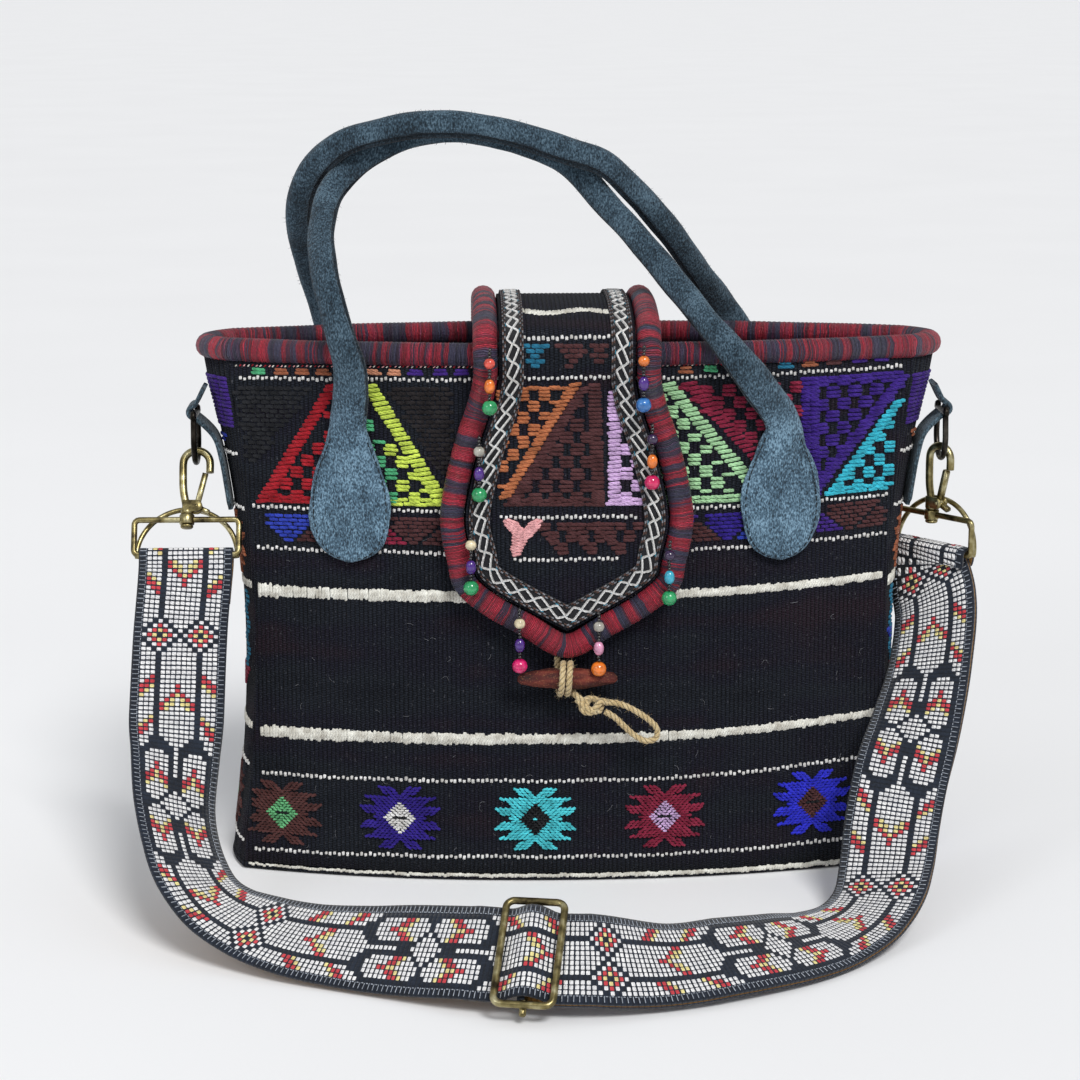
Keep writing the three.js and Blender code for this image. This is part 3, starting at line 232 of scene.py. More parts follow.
def make_piece(name, points, faces, materials, uv=None, indices=None, smooth=True):
    """Mesh object from points in millimetres, arrays of faces, and one texture point per point"""
    mesh = bpy.data.meshes.new(name)
    points = np.asarray(points, float).reshape(-1, 3)
    faces = [np.asarray(f, int) for f in (faces if isinstance(faces, list) else [faces]) if len(f)]
    corners = np.concatenate([f.ravel() for f in faces])
    sizes = np.concatenate([np.full(len(f), f.shape[1]) for f in faces])
    starts = np.concatenate([[0], np.cumsum(sizes)[:-1]])
    mesh.vertices.add(len(points))
    mesh.vertices.foreach_set("co", (points * MM).ravel())
    mesh.loops.add(len(corners))
    mesh.loops.foreach_set("vertex_index", corners)
    mesh.polygons.add(len(sizes))
    mesh.polygons.foreach_set("loop_start", starts)
    mesh.polygons.foreach_set("use_smooth", np.full(len(sizes), smooth))
    for material in materials:
        mesh.materials.append(material)
    if indices is not None:
        mesh.polygons.foreach_set("material_index", np.asarray(indices, int))
    if uv is not None:
        layer = mesh.uv_layers.new(name="UVMap")
        layer.data.foreach_set("uv", np.asarray(uv, float).reshape(-1, 2)[corners].ravel())
    mesh.update(calc_edges=True)
    mesh.validate()
    piece = bpy.data.objects.new(name, mesh)
    bpy.context.collection.objects.link(piece)
    return piece


def place(piece, slot, *nodes, body="bag"):
    """Puts a piece on its body and in the place of CAD nodes; the slot is not used"""
    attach(piece, body)
    if nodes:
        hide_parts(*nodes)
    return piece


def add_solid(name, solid, material, slot, *nodes, body="bag"):
    """Piece of one material from points, faces and texture points"""
    points, faces, uv = solid
    return place(make_piece(name, points, faces, [material], uv), slot, *nodes, body=body)


def grid_faces(rows, columns, wrap_rows=False, wrap_columns=False):
    """Quads of a grid of points stored row by row"""
    r = np.arange(rows if wrap_rows else rows - 1)
    c = np.arange(columns if wrap_columns else columns - 1)
    r, c = [a.ravel() for a in np.meshgrid(r, c, indexing="ij")]
    r1, c1 = (r + 1) % rows, (c + 1) % columns
    return np.stack([r * columns + c, r * columns + c1, r1 * columns + c1, r1 * columns + c], 1)


def tube_points(path, radius, sides, closed=False, shape=None):
    """Points and texture points of a tube; shape(angle, distance) scales the radius"""
    path = np.asarray(path, float)
    tangent, normal, side = frames_along(path, closed)
    angle = np.linspace(0, 2 * math.pi, sides, endpoint=False)
    run = distances(path)
    size = np.broadcast_to(np.asarray(radius, float), run.shape)[:, None] * np.ones((1, sides))
    if shape is not None:
        size = size * shape(angle[None, :], run[:, None])
    around = normal[:, None] * np.cos(angle)[None, :, None] + side[:, None] * np.sin(angle)[None, :, None]
    points = path[:, None] + around * size[..., None]
    uv = np.stack(np.broadcast_arrays(run[:, None], angle * np.mean(size)), -1)
    return points, uv


def capped(points, uv, turned=False):
    """Skin of a grid that closes round its columns, with a fan over each end"""
    rows, sides = points.shape[:2]
    skin = grid_faces(rows, sides, wrap_columns=True)
    first = np.arange(sides)
    last = first + (rows - 1) * sides
    points, uv = points.reshape(-1, 3), uv.reshape(-1, 2)
    hub = len(points)
    fans = np.vstack([np.stack([np.full(sides, hub), np.roll(first, -1), first], 1),
                      np.stack([np.full(sides, hub + 1), last, np.roll(last, -1)], 1)])
    points = np.vstack([points, points[first].mean(0), points[last].mean(0)])
    return points, [skin[:, ::-1] if turned else skin, fans], np.vstack([uv, uv[0], uv[last[0]]])


def rod(path, radius, sides, closed=False, shape=None):
    """Solid round wire, thread or roll along a path"""
    points, uv = tube_points(path, radius, sides, closed, shape)
    if closed:
        return points, [grid_faces(len(points), sides, wrap_rows=True, wrap_columns=True)], uv
    return capped(points, uv)


def sheet_solid(outer, inner, uv):
    """Closed thick sheet from two equal grids; seen from outside rows run up and columns run right"""
    rows, columns = outer.shape[:2]
    count = rows * columns
    face = grid_faces(rows, columns)
    ids = np.arange(count).reshape(rows, columns)
    edge = np.concatenate([ids[0], ids[1:, -1], ids[-1, -2::-1], ids[-2:0:-1, 0]])
    after = np.roll(edge, -1)
    rim = np.stack([edge + count, after + count, after, edge], 1)
    points = np.concatenate([outer.reshape(-1, 3), inner.reshape(-1, 3)])
    return points, np.vstack([face, face[:, ::-1] + count, rim]), np.concatenate([uv.reshape(-1, 2)] * 2)


def merge(parts):
    """One point list and one list of face arrays from several (points, faces, uv)"""
    points, uvs, faces, offset = [], [], [], 0
    for p, f, t in parts:
        p = np.asarray(p, float).reshape(-1, 3)
        for array in (f if isinstance(f, list) else [f]):
            faces.append(array + offset)
        points.append(p)
        uvs.append(np.asarray(t, float).reshape(-1, 2))
        offset += len(p)
    return np.concatenate(points), faces, np.concatenate(uvs)


# Materials

def srgb(code):
    channels = [int(code[i:i + 2], 16) / 255 for i in (0, 2, 4)]
    return tuple(c / 12.92 if c <= 0.04045 else ((c + 0.055) / 1.055) ** 2.4 for c in channels) + (1.0,)


def toned(code, factor, lift=0.0):
    """Colour of a code, made darker or brighter"""
    return tuple(min(c * factor + lift, 1.0) for c in srgb(code)[:3]) + (1.0,)


class Shader:
    """A node material in the making; u and v are texture coordinates in millimetres"""

    SOCKETS = {"roughness": "Roughness", "metallic": "Metallic", "specular": "Specular IOR Level",
               "sheen": "Sheen Weight", "sheen_roughness": "Sheen Roughness",
               "coat": "Coat Weight", "coat_roughness": "Coat Roughness"}

    def __init__(self, name, **values):
        self.material = bpy.data.materials.new(name)
        self.material.use_nodes = True
        self.tree = self.material.node_tree
        self.surface = self.tree.nodes["Principled BSDF"]
        for key, value in values.items():
            self.surface.inputs[self.SOCKETS[key]].default_value = value

    def node(self, kind, inputs=(), **settings):
        node = self.tree.nodes.new(kind)
        for key, value in settings.items():
            setattr(node, key, value)
        for key, value in dict(inputs).items():
            self.feed(node.inputs[key], value)
        return node

    def feed(self, socket, value):
        if isinstance(value, bpy.types.NodeSocket):
            self.tree.links.new(value, socket)
        else:
            socket.default_value = value

    def uv(self):
        texture = self.node("ShaderNodeTexCoord").outputs["UV"]
        split = self.node("ShaderNodeSeparateXYZ", {"Vector": texture})
        return split.outputs["X"], split.outputs["Y"]

    def where(self):
        return self.node("ShaderNodeTexCoord").outputs["Object"]

    def noise(self, scale, detail=3.0, vector=None, stretch=None):
        vector = vector or self.where()
        if stretch:
            vector = self.node("ShaderNodeMapping", {"Vector": vector, "Scale": stretch}).outputs["Vector"]
        inputs = {"Vector": vector, "Scale": scale, "Detail": detail}
        return self.node("ShaderNodeTexNoise", inputs).outputs["Fac"]

    def maths(self, operation, a, b=0.0):
        node = self.node("ShaderNodeMath", operation=operation)
        self.feed(node.inputs[0], a)
        self.feed(node.inputs[1], b)
        return node.outputs["Value"]

    def times(self, a, b):
        return self.maths("MULTIPLY", a, b)

    def plus(self, a, b):
        return self.maths("ADD", a, b)

    def blend(self, a, share, b):
        return self.plus(self.times(a, share), self.times(b, 1 - share))

    def ridges(self, value, pitch):
        """Round ridges from 0 to 1, one in each pitch"""
        return self.maths("ABSOLUTE", self.maths("SINE", self.times(value, math.pi / pitch)))

    def join(self, x, y):
        return self.node("ShaderNodeCombineXYZ", {"X": x, "Y": y}).outputs["Vector"]

    def streaks(self, along, across, scale=1.0, detail=3.0):
        """Noise that is stretched along u or v"""
        u, v = self.uv()
        return self.noise(scale, detail, self.join(self.times(u, along), self.times(v, across)))

    def chance(self, value):
        return self.node("ShaderNodeTexWhiteNoise", {"W": value}, noise_dimensions="1D").outputs["Value"]

    def ramp(self, value, stops):
        """Stops are places with a colour code, a colour or a grey"""
        node = self.node("ShaderNodeValToRGB", {"Fac": value})
        elements = node.color_ramp.elements
        while len(elements) < len(stops):
            elements.new(0.5)
        for element, (position, tone) in zip(elements, stops):
            element.position = position
            if isinstance(tone, str):
                tone = srgb(tone)
            element.color = tone if isinstance(tone, tuple) else (tone, tone, tone, 1.0)
        return node.outputs["Color"]

    def shade(self, colour, value, stops):
        return self.mix(1.0, colour, self.ramp(value, stops), "MULTIPLY")

    def mix(self, share, a, b, blend="MIX"):
        node = self.node("ShaderNodeMix", data_type="RGBA", blend_type=blend)
        self.feed(node.inputs[0], share)
        self.feed(node.inputs[6], a)
        self.feed(node.inputs[7], b)
        return node.outputs[2]

    def colour(self, value):
        self.feed(self.surface.inputs["Base Color"], value)

    def rough(self, value, low, high):
        node = self.node("ShaderNodeMapRange", {"Value": value, "To Min": low, "To Max": high})
        self.feed(self.surface.inputs["Roughness"], node.outputs["Result"])

    def bump(self, height, distance):
        node = self.node("ShaderNodeBump", {"Height": height, "Distance": distance * MM, "Strength": 1.0})
        self.feed(self.surface.inputs["Normal"], node.outputs["Normal"])


def kilim_ground(name, tones):
    """Weft-faced wool: ribs along u, small weft beads along v, painted shade in their grooves, nap, flecks
    and fuzz
    """
    s = Shader(name, roughness=0.95, sheen=0.04, sheen_roughness=0.5, specular=0.08)
    u, v = s.uv()
    rib = s.ridges(u, RIB)
    odd = s.times(s.maths("FLOOR", s.maths("DIVIDE", u, RIB)), math.pi)
    weft = s.maths("SINE", s.plus(s.times(v, 2 * math.pi / WEFT), odd))
    band = s.noise(0.055, 1.0, s.join(s.times(u, 0.05), v))
    colour = s.ramp(s.blend(s.noise(26.0, 4.0), 0.45, band), tones)
    # Painted shade: the colour is darkened in the grooves between the ribs and between the weft beads
    colour = s.shade(colour, rib, [(0.0, 0.14), (0.7, 1.0)])
    colour = s.shade(colour, s.plus(s.times(weft, 0.5), 0.5), [(0.1, 0.5), (0.75, 1.0)])
    nap = s.ramp(s.streaks(0.8, 1.4), [(0.52, 0.0), (0.75, 0.35)])
    colour = s.mix(nap, colour, srgb("474c55"))
    fleck = s.ramp(s.streaks(0.9, 0.35, detail=2.0), [(0.66, 0.0), (0.74, 0.5)])
    s.colour(s.mix(fleck, colour, srgb("5b5c62")))
    height = s.plus(s.times(weft, 0.3), s.times(s.noise(1500.0, 2.0), 0.8))
    s.bump(s.plus(height, rib), 0.45)
    return s.material


def wool(name, code, depth=0.55):
    """Wool yarn of a float: plies along it, colour that wanders a little"""
    s = Shader(name, roughness=0.85, sheen=0.1, sheen_roughness=0.45, specular=0.15)
    u, v = s.uv()
    ply = s.maths("SINE", s.plus(s.times(u, 2.2), s.times(v, 4.6)))
    fibre = s.streaks(0.5, 2.0, scale=2.2)
    tones = [(0.33, toned(code, depth)), (0.66, toned(code, 1.3, 0.012))]
    s.colour(s.ramp(s.blend(s.noise(190.0, 2.0), 0.6, fibre), tones))
    s.bump(s.plus(s.times(ply, 0.5), s.times(fibre, 1.2)), 0.35)
    return s.material


def wrapped_yarn(name, stops, mingle):
    """Threads wound round a core: u runs along the core, each thread has its own tone"""
    s = Shader(name, roughness=0.42, sheen=0.06, sheen_roughness=0.4, specular=0.55)
    u, v = s.uv()
    wound = s.plus(u, s.times(s.noise(0.12, 2.0, s.join(u, v)), 2.6))
    thread = s.maths("FLOOR", s.maths("DIVIDE", wound, THREAD_PITCH))
    length = s.noise(0.085, 2.0, s.join(s.times(thread, THREAD_PITCH), s.times(v, 0.05)))
    own = s.times(s.maths("SUBTRACT", s.chance(thread), 0.5), mingle)
    colour = s.ramp(s.plus(length, own), stops)
    colour = s.shade(colour, s.chance(s.plus(thread, 0.5)), [(0.0, 0.42), (0.85, 1.0)])
    groove = s.ridges(wound, THREAD_PITCH)
    # Painted shade in the grooves between the wound threads
    colour = s.shade(colour, groove, [(0.0, 0.34), (0.5, 1.0)])
    colour = s.shade(colour, s.streaks(2.0, 0.5, scale=1.3), [(0.34, 0.5), (0.62, 1.0)])
    pale = s.ramp(s.streaks(1.6, 0.4, scale=2.1), [(0.6, 0.0), (0.76, 0.3)])
    s.colour(s.mix(pale, colour, srgb("9a8a94")))
    s.bump(s.plus(groove, s.times(s.noise(900.0), 1.2)), 0.7)
    return s.material


def suede(name, dark, middle, light, shade=1.0):
    """Napped suede: brushed patches, fine grain; above the rim's height the colour is darker, by the factor
    shade
    """
    s = Shader(name, roughness=0.95, sheen=0.12, sheen_roughness=0.6, specular=0.06)
    grain = s.noise(1300.0, 5.0, stretch=(1.0, 1.0, 0.55))
    colour = s.ramp(s.blend(s.noise(60.0), 0.3, grain), [(0.38, dark), (0.5, middle), (0.62, light)])
    height = s.node("ShaderNodeSeparateXYZ", {"Vector": s.where()}).outputs["Z"]
    s.colour(s.shade(colour, height, [(0.235, 1.0), (0.275, shade)]))
    s.bump(s.plus(grain, s.times(s.noise(320.0, 2.0), 0.7)), 0.8)
    return s.material


def metal(name, dark, middle, light, roughness):
    """Plated metal with tarnish in patches and fine scratches"""
    s = Shader(name, metallic=1.0)
    tarnish = s.noise(150.0, 5.0)
    s.colour(s.ramp(tarnish, [(0.3, dark), (0.5, middle), (0.72, light)]))
    scratch = s.noise(700.0, 2.0, stretch=(1.0, 0.25, 3.0))
    s.rough(scratch, roughness - 0.1, roughness + 0.18)
    s.bump(s.plus(tarnish, scratch), 0.06)
    return s.material


def glass_bead(name, code):
    s = Shader(name, coat=0.6, coat_roughness=0.06, specular=0.6)
    cloud = s.noise(420.0)
    s.colour(s.ramp(cloud, [(0.3, toned(code, 0.6)), (0.7, toned(code, 1.2, 0.01))]))
    s.rough(cloud, 0.1, 0.28)
    return s.material


def speckled_wood(name):
    s = Shader(name, specular=0.4)
    grain = s.noise(260.0, 4.0, stretch=(0.25, 1.0, 1.0))
    speck = s.ramp(s.noise(1300.0), [(0.57, 0.0), (0.7, 0.65)])
    colour = s.ramp(grain, [(0.3, "240a09"), (0.52, "551d18"), (0.7, "7d382a")])
    s.colour(s.mix(speck, colour, srgb("9a6a45")))
    s.rough(grain, 0.6, 0.85)
    s.bump(s.plus(grain, s.noise(1500.0)), 0.5)
    return s.material


def jute_fibre(name):
    """Pale bast fibre, with painted shade between the plies of the cord"""
    s = Shader(name, roughness=0.95, sheen=0.3, sheen_roughness=0.5, specular=0.2)
    u, v = s.uv()
    fibre = s.streaks(0.9, 3.2, detail=4.0)
    tones = [(0.3, "8a6d44"), (0.5, "cdb585"), (0.7, "f0e4c4")]
    colour = s.ramp(s.blend(fibre, 0.7, s.noise(240.0)), tones)
    twist = s.maths("SUBTRACT", s.maths("DIVIDE", v, CORD_RADIUS), s.times(u, 2 * math.pi / PLY_LAY))
    ply = s.maths("ABSOLUTE", s.maths("COSINE", s.times(twist, PLIES / 2)))
    # Painted shade in the grooves between the plies
    s.colour(s.shade(colour, ply, [(0.0, 0.3), (0.55, 1.0)]))
    s.bump(fibre, 0.5)
    return s.material


def woven_tape(name, dark, light, rib=0.9):
    """Plain woven ribbon or webbing yarn"""
    s = Shader(name, roughness=0.8, sheen=0.15, specular=0.3)
    u, v = s.uv()
    ribs, cross = s.ridges(u, rib), s.ridges(v, rib)
    fuzz = s.noise(1100.0)
    colour = s.ramp(s.blend(s.noise(130.0), 0.5, fuzz), [(0.33, dark), (0.67, light)])
    # Painted shade in the grooves between the ribs of the weave
    s.colour(s.shade(colour, ribs, [(0.0, 0.5), (0.6, 1.0)]))
    s.bump(s.plus(s.plus(ribs, s.times(cross, 0.5)), fuzz), 0.25)
    return s.material


GROUND_TONES = [(0.34, "1a1d25"), (0.44, "20242c"), (0.54, "1d1d29"), (0.66, "291f28")]
GROUND = kilim_ground("kilim_black", GROUND_TONES)
WOOL = {name: wool(f"wool_{name}", code) for name, code in {
    "white": "f0ede6", "cream": "efe9da", "red": "a31222", "lime": "cde65a", "green": "4fae7a",
    "pale_green": "a9d7a5", "maroon": "861b3a", "purple": "36187e", "cyan": "35b8cf", "blue": "2a3fb0",
    "indigo": "2b1785", "turquoise": "4fd0dc", "ultramarine": "2a2fd0", "brown": "532e2c",
    "rust": "9a5a3e", "orange": "b56c45", "lilac": "cfaedb", "pink": "f2a6a8", "salmon": "c98a6c",
    "teal": "1f6f8f", "black": "15171c", "violet": "3c1d7c", "leaf": "6fbf84", "umber": "4f2b2d",
    "soot": "1b1618", "pitch": "15171d"}.items()}
RIM_YARN = wrapped_yarn("rim_yarn", [(0.4, "4c4a68"), (0.475, "5a3a5c"), (0.51, "b02a46"), (0.58, "d82e48"),
                                     (0.65, "a83a5a"), (0.71, "4c4a68")], 0.12)
FLAP_YARN = wrapped_yarn("flap_yarn", [(0.4, "484a68"), (0.47, "553a5a"), (0.5, "c02a46"), (0.58, "e0324c"),
                                       (0.66, "b82e4a"), (0.72, "484a68")], 0.09)
SUEDE = suede("slate_suede", "293844", "4e687b", "81a1b7", 0.43)
# Painted shade: darker suede for the underside of each handle's roll, between its lower edge and the seam
FOLD_SHADE_SUEDE = suede("fold_painted_shade_suede", "141b22", "25313b", "3e505d", 0.7)
TAB_SUEDE = suede("tab_suede", "1a232b", "384852", "5e7482")
LINING_SUEDE = suede("lining_suede", "1c262e", "3a4a56", "566a78")
BRASS = metal("antique_brass", "3a3326", "8f8359", "d2cba4", 0.3)
GUNMETAL = metal("gunmetal", "181614", "2f2b27", "55504a", 0.34)
WOOD = speckled_wood("toggle_wood")
JUTE = jute_fibre("jute")
LINT = wool("lint", "8f9198")
RIBBON = woven_tape("trim_ribbon", "101114", "22232a")
SILVER_THREAD = wool("trim_silver", "85878e")
WHITE_THREAD = wool("trim_white", "f2f0ec", 0.85)
TEAL_THREAD = wool("trim_teal", "2f7f98")
BROWN_THREAD = wool("trim_brown", "5a4038")


# Camera, floor and light

CAMERA_PITCH, CAMERA_AZIMUTH = math.radians(12.5), math.radians(2.0)
CAMERA_TARGET, CAMERA_DISTANCE = (-0.018, -0.058, 0.186), 1.35
STUDIO = (0.47, 0.475, 0.485, 1.0)
BACKDROP = "eaebed"
FLOOR_TONES = ("eff0f2", "f1f2f4")
FLOOR_REACH, FLOOR_DROP = 40000.0, 0.2


def add_camera():
    forward = Vector((math.sin(CAMERA_AZIMUTH) * math.cos(CAMERA_PITCH),
                      math.cos(CAMERA_AZIMUTH) * math.cos(CAMERA_PITCH), -math.sin(CAMERA_PITCH)))
    data = bpy.data.cameras.new("camera")
    data.lens = 86.67
    data.sensor_width = 36.0
    data.clip_start = 0.05
    camera = bpy.data.objects.new("camera", data)
    camera.location = Vector(CAMERA_TARGET) - CAMERA_DISTANCE * forward
    camera.rotation_euler = forward.to_track_quat("-Z", "Y").to_euler()
    bpy.context.collection.objects.link(camera)
    bpy.context.scene.camera = camera


def add_area(name, location, target, size, power, colour):
    data = bpy.data.lights.new(name, "AREA")
    data.shape = "DISK"
    data.size = size
    data.energy = power
    data.color = colour
    lamp = bpy.data.objects.new(name, data)
    lamp.location = location
    lamp.rotation_euler = (Vector(target) - Vector(location)).to_track_quat("-Z", "Y").to_euler()
    bpy.context.collection.objects.link(lamp)


def add_sun(name, towards, strength, spread, colour):
    data = bpy.data.lights.new(name, "SUN")
    data.energy = strength
    data.angle = math.radians(spread)
    data.color = colour
    lamp = bpy.data.objects.new(name, data)
    lamp.rotation_euler = (-Vector(towards)).to_track_quat("-Z", "Y").to_euler()
    bpy.context.collection.objects.link(lamp)


def add_world():
    """Soft studio light, and a plain pale backdrop where the camera looks past the floor"""
    world = bpy.data.worlds.new("studio")
    world.use_nodes = True
    tree = world.node_tree
    path = tree.nodes.new("ShaderNodeLightPath")
    mix = tree.nodes.new("ShaderNodeMix")
    mix.data_type = "RGBA"
    mix.inputs[6].default_value = STUDIO
    mix.inputs[7].default_value = srgb(BACKDROP)
    tree.links.new(path.outputs["Is Camera Ray"], mix.inputs[0])
    tree.links.new(mix.outputs[2], tree.nodes["Background"].inputs["Color"])
    bpy.context.scene.world = world


def add_stage():
    s = Shader("floor_paper", roughness=0.8, specular=0.1)
    s.colour(s.ramp(s.noise(3.0, 2.0), [(0.3, FLOOR_TONES[0]), (0.7, FLOOR_TONES[1])]))
    ways = ((-1, -1), (1, -1), (1, 1), (-1, 1))
    corners = [(x * FLOOR_REACH, y * FLOOR_REACH, -FLOOR_DROP) for x, y in ways]
    floor = make_piece("floor", corners, np.array([[0, 1, 2, 3]]), [s.material], smooth=False)
    add_world()
    add_sun("key", (0.3, -0.78, 0.95), 2.1, 20, (1.0, 0.99, 0.97))
    add_area("glint", (-1.5, -1.5, 1.3), (0, 0, 0.15), 0.9, 7, (0.96, 0.98, 1.0))
    bpy.context.scene.view_settings.view_transform = "Standard"


add_camera()
add_stage()


# Jute cord on the toggle

def twisted_cord(path, radius):
    """Three-ply cord along a path: its fine path and its solid"""
    path = np.asarray(path, float)
    length = distances(path)[-1]
    fine = Route(path).even(int(length / CORD_STEP) + 2)
    turn = 2 * math.pi / PLY_LAY
    lobes = lambda angle, run: 0.8 + 0.24 * np.abs(np.cos(PLIES / 2 * (angle - run * turn)))
    return fine, rod(fine, radius, 18, shape=lobes)


def loose_fibres(path, radius, per_mm, reach):
    """Thin three-sided hairs that start in a cord and lie off along it"""
    fine = np.asarray(path, float)
    tangent, normal, side = frames_along(fine)
    parts = []
    for _ in range(int(per_mm * len(fine) * CORD_STEP)):
        k = rng.integers(1, len(fine) - 1)
        angle = rng.uniform(0, 2 * math.pi)
        out = math.cos(angle) * normal[k] + math.sin(angle) * side[k]
        way = unit(out * rng.uniform(0.4, 1.0) + tangent[k] * rng.uniform(-1, 1))
        root = fine[k] + out * radius * 0.7
        bend = unit(np.cross(way, rng.normal(size=3))) * rng.uniform(0, 0.5)
        size = rng.uniform(0.5, 1.0) * reach
        line = np.array([root, root + way * size * 0.5, root + (way + bend) * size])
        parts.append(rod(line, [0.09, 0.07, 0.02], 3))
    return merge(parts)


def winding():
    """From under the flap's point, round the toggle and down to the knot"""
    turn = np.linspace(0, 2.25 * 2 * math.pi, 46)
    x = TOGGLE[0] - 5.0 + 3.7 * turn / (2 * math.pi)
    wound = np.stack([x, TOGGLE[1] + WIND_RADIUS * np.cos(turn), TOGGLE[2] - WIND_RADIUS * np.sin(turn)], 1)
    lead = [(TOGGLE[0] - 5.0, TOGGLE[1] + WIND_RADIUS, z) for z in (124.0, 121.0, 118.0)]
    end = wound[-1]
    tail = [end + d for d in ((1.0, -2.6, -0.3), (2.8, -4.6, -1.4), (5.2, -5.0, -3.2), (7.6, -4.6, -4.8))]
    return np.vstack([lead, wound, tail])


KNOT = np.array([8.0, -71.73, 100.6])


def add_jute(name, route, radius, node):
    """Cord along a route, and its loose fibres as a piece of their own"""
    path, solid = twisted_cord(route, radius)
    cord = add_solid(name, solid, JUTE, "jute", node)
    hairs = loose_fibres(path, radius, 1.6, 3.2)
    return cord, add_solid(f"{name}_fibres", hairs, JUTE, "jute"), path


def add_closure():
    cord, hairs, path = add_jute("closure_cord", winding(), CORD_RADIUS, "closure_wrap")
    turns = [KNOT + np.array(d) for d in (
        (-7.0, 0.5, 3.0), (-4.0, -2.2, 0.5), (0.5, -2.8, -2.2), (4.5, -0.6, -2.6), (5.2, 1.6, 0.8),
        (1.0, 2.2, 2.8), (-3.6, 0.6, 2.2), (-4.4, -1.8, -1.8), (-0.5, -2.6, -3.2), (3.2, -2.8, 0.4),
        (5.4, -1.8, 2.6), (8.6, -0.6, 1.6))]
    knot, knot_hairs, _ = add_jute("closure_knot_turns", turns, CORD_RADIUS * 1.08, "closure_knot")
    declare_cord(cord, path)
    start = KNOT + np.array([8.25 + 1.8 + GAP, 0.0, -2.0])
    reach = [
        (-3, 0.3, 3.4), (3, 0.2, 3.0), (9, 0, 0.9), (15, 0, -2.6), (20.5, 0, -6.6), (24.4, 0, -11.4),
        (23.6, 0, -16.4), (18.4, 0, -17.6), (12.6, 0, -14.6), (7, 0.1, -9.4), (2, 0.2, -4.6),
        (-3, 0.3, -1.4)]
    route = [start + np.array(d) for d in reach]
    loop, hairs, path = add_jute("closure_free_loop", route, CORD_RADIUS, "closure_loop")
    declare_cord(loop, path)


def declare_cord(piece, path):
    length = distances(path)[-1]
    [tuple(p * MM) for p in path]


add_closure()


# Stitched motifs: floats of wool collected for one surface and built as one mesh

EYE_ROW = 1.35                 # rows of a stitched eye, and how far each row reaches from its middle
EYE_REACH = [12.5, 13.5, 17.5, 20.5, 22.0, 11.5, 13.5, 16.0, 17.5, 6.0, 8.5, 10.5, 11.0]


